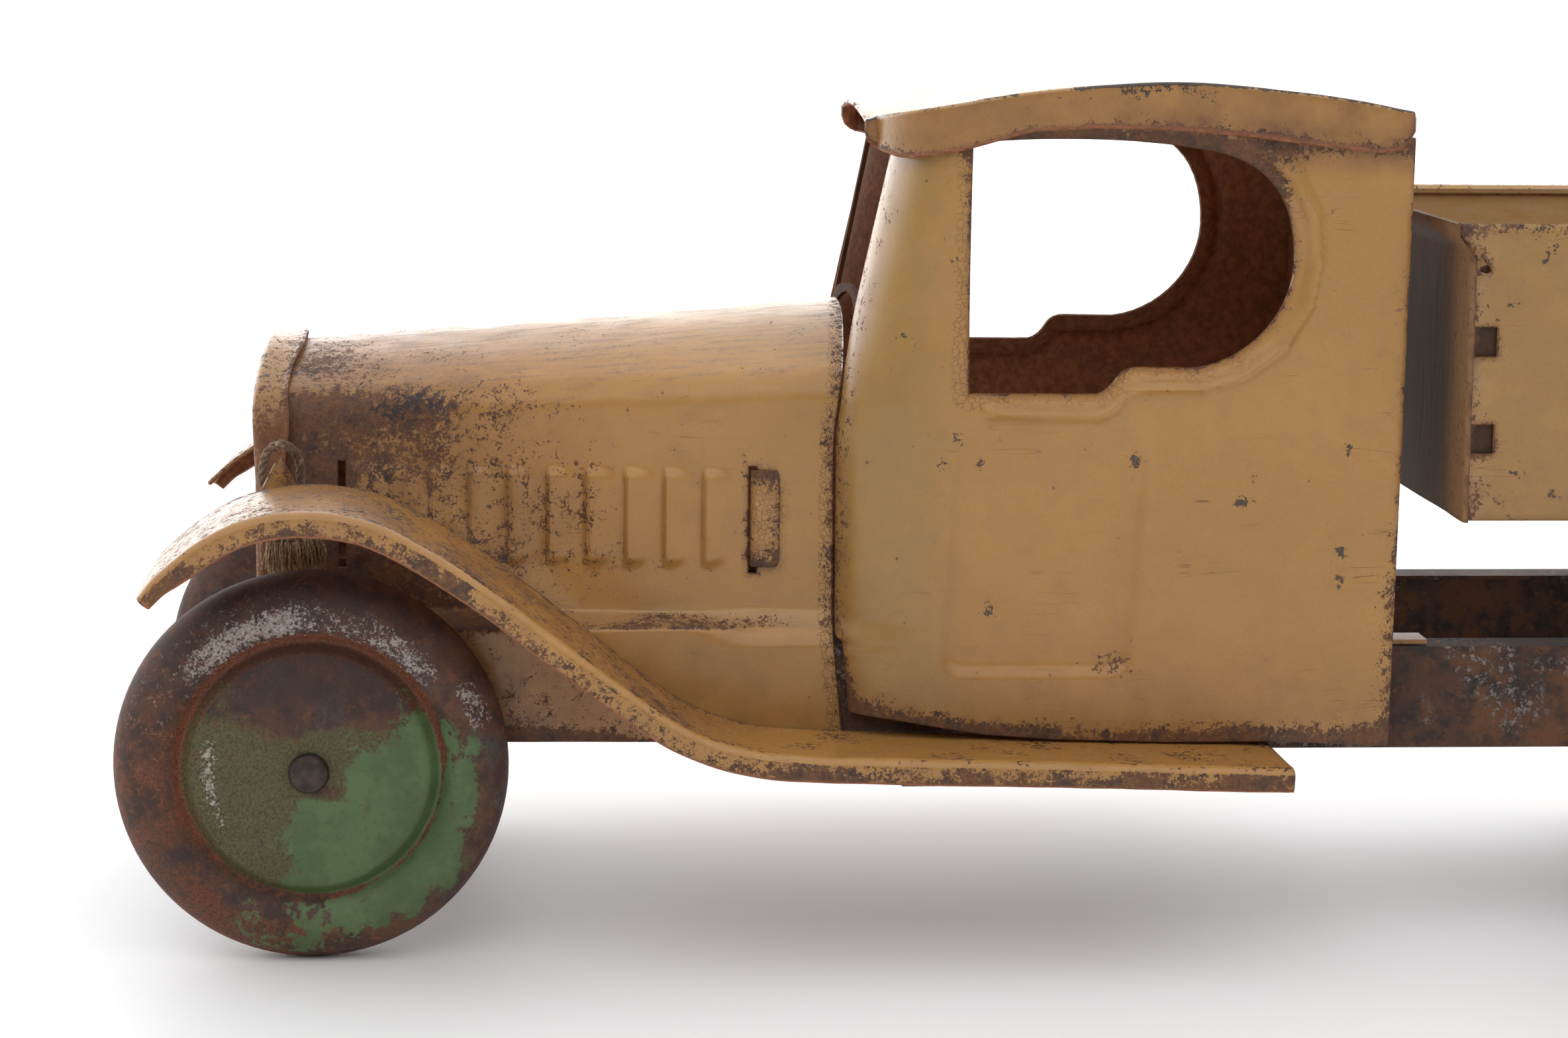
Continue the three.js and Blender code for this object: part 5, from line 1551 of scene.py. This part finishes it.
for end, centre_x, word, side, turn in WHEELS:
    centre = [centre_x, side * WHEEL_PLANE, AXLE_Z]
    name = f"{end}_{word}_wheel"
    seed = 110 + 3 * turn % 17
    for half, profile, flip in (("outer", disc_profile(), 1), ("inner", back_profile(), -1)):
        points, faces = lathe(profile, 120, centre, side * flip)
        solid = Solid()
        solid.add(hammered(points, centre, seed + (flip < 0), 0.22), [faces])
        made = solid.build(f"{name}_{half}_pressing", 50)
        wear = wheel_wear(centre_x, turn if side < 0 else turn + 40, flip > 0)
        dress(made, WHEEL, name, [f"{name}_disc_{half}"], wear, WHEEL_WEAR)
    head = spline([[0.01, 2.45], [1.8, 2.5], [3.4, 2.2], [4.6, 1.5], [5.15, 0.6], [RIVET_RADIUS, 0.1]], 22)
    start = FACE_OUT + JOINT_GAP
    profile = np.concatenate([head + [0, start], [[RIVET_RADIUS, start], [0.01, start]]])
    points, faces = lathe(profile[::-1], 48, centre, side)
    solid = Solid()
    rivet_edge = np.abs(RIVET_RADIUS - np.hypot(points[:, 0] - centre[0], points[:, 2] - centre[2]))
    dents = np.outer(ripple(points, 4, seed), [0, 1, 0])
    solid.add(points + 0.07 * dents, [faces], rivet_edge)
    dress(solid.build(f"{name}_rivet_head", 50), RIVET, "chassis", [f"{name}_rivet"], None, ())


# ---- load bed

BED_FRONT, BED_REAR, BED_HALF, BED_LOW, BED_TOP = 294.8, 556.0, 82.9, 114.6, 191.2
BED_ROLL, BED_BEND = 1.6, 2.2
BED_NOTCHES = ((156.9, 165.1), (132.0, 140.0))
NOTCH_DEEP, NOTCH_CORNER = 302.6, 302.2
GATE_X, GATE_Z, GATE_ROD = 551.6, 183.5, 2.0
GATE_HALF, GATE_LOW = 79.5, 119


def bed_side_profile():
    """Section of a bed side as (half-width, height): top roll, outside, bend, bottom flange."""
    roll = arc((BED_HALF - BED_ROLL, BED_TOP - BED_ROLL), BED_ROLL, 262, 0, 16)
    wall = np.stack([np.full(60, BED_HALF), np.linspace(BED_TOP - BED_ROLL, BED_LOW + BED_BEND, 60)], 1)[1:]
    foot = arc((BED_HALF - BED_BEND, BED_LOW + BED_BEND), BED_BEND, 0, -90, 8)[1:]
    flange = np.stack([np.linspace(BED_HALF - BED_BEND, 70, 10), np.full(10, BED_LOW)], 1)[1:]
    return np.concatenate([roll, wall, foot, flange])


def bed_side(side):
    line = bed_side_profile()
    length = run_along(line)

    def run_of(z):
        wall = (line[:, 0] > BED_HALF - 1e-6)
        return np.interp(-z, -line[wall, 1], length[wall])

    front = BED_FRONT + SHEET + JOINT_GAP
    top_run = run_of(BED_TOP - 1.7)
    edge = [
        [292.6, 0], [292.6, top_run], [292.9, run_of(187.5)], [294.6, run_of(185.6)], [front, run_of(183)]
    ]
    for low, high in BED_NOTCHES:
        notch = ((front, high), (NOTCH_CORNER, high), (NOTCH_DEEP, high - 0.5))
        notch += ((NOTCH_DEEP, low + 0.5), (NOTCH_CORNER, low), (front, low))
        edge += [[x, run_of(z)] for x, z in notch]
    edge += [[front, length[-1]], [BED_REAR, length[-1]], [BED_REAR, 0]]
    corners = ((297.2, 183.6), (300.2, 180.0), (300.4, 178.9), (299.4, 178.2), (298.2, 178.3), (297.0, 178.9))
    hole = [[x, run_of(z)] for x, z in corners]
    rod = arc((GATE_X, float(run_of(GATE_Z))), GATE_ROD + JOINT_GAP, 0, 330, 12)
    flat, faces = flat_panel(edge, [hole, rod], 1.5)
    width = np.interp(flat[:, 1], length, line[:, 0])
    z = np.interp(flat[:, 1], length, line[:, 1])
    points = np.stack([flat[:, 0], -width, z], 1)
    middle = smooth(points[:, 0], 300, 330) * fall(points[:, 0], 530, 552) * smooth(z, 118, 130)
    points[:, 1] += middle * (0.3 * ripple(points, 70, 121 + (side > 0)) + 0.1 * ripple(points, 22, 122))
    faces = faces[:, ::-1]
    return on_side(points, faces, side)


BED_CHIPS = [
    ([306, -83, 171], [2, 9, 1.4]), ([316, -83, 184.5], [1.4, 9, 2.6]), ([314, -83, 181], [0.9, 9, 4]),
    ([308, -83, 127], [3.6, 9, 1.8]), ([318, -83, 122], [2, 9, 1.5])
]


def bed_side_wear(p, n):
    x, y, z = p.T
    left = np.stack([x, -np.abs(y), z], 1)
    front = fall(x + 1.5 * ripple(p, 12, 131), 297.5, 302.5)
    holes = blob(left, [301, -83, 161], [3.6, 30, 5]) + blob(left, [301, -83, 136], [3.6, 30, 5])
    holes += 0.7 * blob(left, [298, -83, 181], [3, 30, 3])
    inner = smooth(-n[:, 1] * np.sign(y), 0.0, 0.5)
    top = smooth(z, 187.4, 189.6) * (1 - 0.7 * inner)
    low = fall(z, 115, 127)
    chips = (
        sum(0.62 * blob(left, c, r) for c, r in BED_CHIPS)
        + 0.36 * patches(p, 20, 133, 0.5, 1.1) * (1 - inner)
    )
    return {
        "rust": 0.16 * front + 0.26 * holes + 0.4 * top + 0.4 * low * patches(p, 18, 134, -0.6, 0.6) + 0.1,
        # the inside face is kept less hazy, cleaner and pale higher up, as painted light; low down it is
        # darkened as painted shade
        "chip": chips, "haze": 0.3 + 0.3 * front + 0.2 * low - 0.25 * inner,
        "olive": 0.8 * (1 - inner), "scuff": 0.35 * inner + 0.15, "clean": 0.3 + 2.0 * inner,
        "pale": 0.2 * front * (1 - holes) + 1.3 * inner * smooth(z, 130, 165), "crackle": 0.4 * front,
        "scratch": 0.8,
        "dark": 0.25 * inner * fall(z, 110, 135),
    }


for side, word in SIDES:
    pressing(f"bed_side_{word}_pressing", bed_side(side), f"bed_side_{word}", bed_side_wear, "bed")


def bed_wall():
    """Front wall: flat, rolled round each corner, flared at the top, with a return inside each side."""
    zs = np.unique(np.concatenate([np.linspace(BED_LOW, 182, 60), np.linspace(182, BED_TOP - 0.2, 16)]))
    lean = 3.6 * smooth(zs, 183, 190.2)
    reach = fall(zs, 180, 187.5)
    half_width = lerp(81.2, BED_HALF, reach)
    front, corner = BED_FRONT - lean, 2.6 * reach
    rolled = []
    for angle in np.linspace(0, math.pi / 2, 9)[::-1]:
        rolled.append(
            (front + 1.45 * reach * (1 - math.cos(angle)), half_width - corner * (1 - math.sin(angle)))
        )
    flat_part = [(front, (half_width - corner) * share) for share in np.linspace(1, -1, 90)[1:-1]]
    columns = [(x, -y) for x, y in rolled + flat_part] + rolled[::-1]
    points = np.zeros((len(columns), len(zs), 3))
    for i, (x, y) in enumerate(columns):
        points[i] = np.stack([x, y, zs], 1)
    flat = points.reshape(-1, 3)
    flat[:, 0] += 0.25 * ripple(flat, 48, 141) * fall(np.abs(flat[:, 1]), 60, 78)
    faces = grid_faces(*points.shape[:2])[:, ::-1]
    solid = Solid()
    solid.add_sheet(flat, faces, 1.1)
    for side in (-1, 1):
        strip, strip_faces = flat_panel([[296.2, 118.6], [305.8, 118.6], [305.8, 183], [296.2, 179]], (), 1.6)
        strip_points = np.stack([strip[:, 0], np.full(len(strip), -81.1), strip[:, 1]], 1)
        solid.add_sheet(*on_side(strip_points, strip_faces, side), 1.0)
    return solid


def bed_wall_wear(p, _):
    x, y, z = p.T
    behind = smooth(x, BED_FRONT + 1.6, BED_FRONT + 2.4)
    # dark on the wall's back, facing the cab: painted shade
    return {"paint": smooth(np.abs(y), 40, 84) + 0.5 * smooth(z, 184, 188), "dark": 0.92 * behind}


dress(
    bed_wall().build("bed_front_wall_sheet"), STREAKED, "bed", ["bed_front_wall"],
    bed_wall_wear, ("paint", "dark")
)


def tailgate_sheet():
    """Tailgate curled round its rod at the top, with a shallow pressed panel."""
    ys = np.linspace(-GATE_HALF, GATE_HALF, 110)
    radius = GATE_ROD + JOINT_GAP + SHEET
    roll = arc((GATE_X, GATE_Z), radius, 270, 0, 26)
    wall = np.stack([np.full(48, GATE_X + radius), np.linspace(GATE_Z, GATE_LOW, 48)], 1)[1:]
    line = np.concatenate([roll, wall])
    points = np.zeros((len(ys), len(line), 3))
    for i, y in enumerate(ys):
        points[i, :, 0], points[i, :, 1], points[i, :, 2] = line[:, 0], y, line[:, 1]
    flat = points.reshape(-1, 3)
    panel = rounded_box(flat[:, 1], flat[:, 2], (-66, 127), (66, 172), 6)
    flat[:, 0] -= 1.0 * smooth(-panel, 0, 3) * (flat[:, 2] < 178)
    return flat, grid_faces(*points.shape[:2])


def tailgate_wear(p, n):
    z = p[:, 2]
    inner = smooth(-n[:, 0], 0.1, 0.6) * (z < 180)
    return {
        "rust": 0.22 + 0.3 * fall(z, 120, 130) + 0.25 * smooth(z, 180, 184),
        "chip": 0.34 * patches(p, 19, 151, 0.2, 1), "haze": 0.35, "scuff": 0.3,
        # dark on the inside face: painted shade
        "pale": 0.4 * smooth(z, 184, 187), "dark": 0.5 * inner, "scratch": 0.7
    }


pressing("tailgate_pressing", tailgate_sheet(), "tailgate", tailgate_wear, "tailgate")


# ---- CAD nodes that keep their shape: materials, worn edges

WORN_EDGE = 0.25


def keep_node(name, material, wear=None, names=()):
    """A CAD node that keeps its shape gets its material, its wear and rounded edges."""
    node = NODES[name]
    node.data.materials.clear()
    node.data.materials.append(material)
    if wear:
        values = wear(*places(node))
        for key in names:
            put(node, key, values.get(key, 0))
    rounded = node.modifiers.new("worn_edges", "BEVEL")
    rounded.width = WORN_EDGE * MM
    rounded.segments = 2
    rounded.limit_method = "ANGLE"
    rounded.angle_limit = math.radians(35)
    rounded.harden_normals = False


for pair in (
    "chassis_rail", "tip_hinge_bracket", "front_axle_bracket", "rear_axle_bracket", "board_strap_front",
    "board_strap_rear", "bed_sill",
):
    for _, word in SIDES:
        keep_node(f"{pair}_{word}", RUSTED)
for name in (
    "front_crossmember", "middle_crossmember", "rear_crossmember", "bed_rest", "bed_floor",
    "radiator_grille"
):
    keep_node(name, RUSTED)
for name in ("front_axle", "rear_axle", "tip_hinge_rod", "tailgate_rod"):
    keep_node(name, AXLE)
for end, _, word, _, _ in WHEELS:
    keep_node(f"{end}_{word}_wheel_hub", AXLE)


def rear_wall_wear(_, n):
    # dark on the wall's face inside the cab: painted shade
    return {"edge": 99.0, "dark": smooth(-n[:, 0], -0.3, 0.5), "rust": 0.25, "haze": 0.4}


keep_node("windshield_frame", DULL)
keep_node("cab_rear_wall", ENAMEL, rear_wall_wear, ("edge", *ENAMEL_WEAR))


# ---- floor, light

def pale_floor():
    """Near white, a little uneven in tone."""
    s = Shader("pale_floor")
    s.colour = s.mix(s.noise(300, 3), srgb(240, 240, 241), srgb(247, 247, 248))
    return s.finish(0.55, s.noise(1.2, 2), 0.02)


bpy.ops.mesh.primitive_plane_add(size=60)
floor = bpy.context.object
floor.name = "floor"
floor.data.materials.append(pale_floor())


def area_light(name, at, towards, size, power):
    data = bpy.data.lights.new(name, "AREA")
    data.shape = "RECTANGLE"
    data.size, data.size_y = size
    data.energy = power
    made = bpy.data.objects.new(name, data)
    made.location = at
    made.rotation_euler = (Vector(towards) - Vector(at)).to_track_quat("-Z", "Y").to_euler()
    bpy.context.scene.collection.objects.link(made)


def studio_sky():
    """Bright above and behind the truck, dim in front of it, so that its near side is softly shaded."""
    world = bpy.data.worlds.new("studio")
    bpy.context.scene.world = world
    world.use_nodes = True
    tree = world.node_tree
    direction = tree.nodes.new("ShaderNodeTexCoord").outputs["Generated"]
    parts = tree.nodes.new("ShaderNodeSeparateXYZ")
    tree.links.new(direction, parts.inputs[0])

    def ramp(socket, low, high, dim, bright):
        made = tree.nodes.new("ShaderNodeMapRange")
        made.interpolation_type = "SMOOTHSTEP"
        tree.links.new(socket, made.inputs["Value"])
        for key, value in {"From Min": low, "From Max": high, "To Min": dim, "To Max": bright}.items():
            made.inputs[key].default_value = value
        return made.outputs["Result"]

    behind = ramp(parts.outputs["Y"], -0.25, 0.6, SKY["front"], SKY["back"])
    upward = ramp(parts.outputs["Z"], 0.1, 0.75, 0.0, 1.0)
    blend = tree.nodes.new("ShaderNodeMix")
    tree.links.new(upward, blend.inputs[0])
    tree.links.new(behind, blend.inputs[2])
    blend.inputs[3].default_value = SKY["top"]
    tree.links.new(blend.outputs[0], tree.nodes["Background"].inputs["Strength"])
    tree.nodes["Background"].inputs["Color"].default_value = (1, 1, 1, 1)


SKY = {"front": 0.17, "back": 3.5, "top": 1.25}
studio_sky()
area_light("front_fill", (-0.6, -1.9, 1.5), (0.0, 0.0, 0.12), (1.6, 1.0), 2.5)
bpy.context.scene.view_settings.view_transform = "Standard"
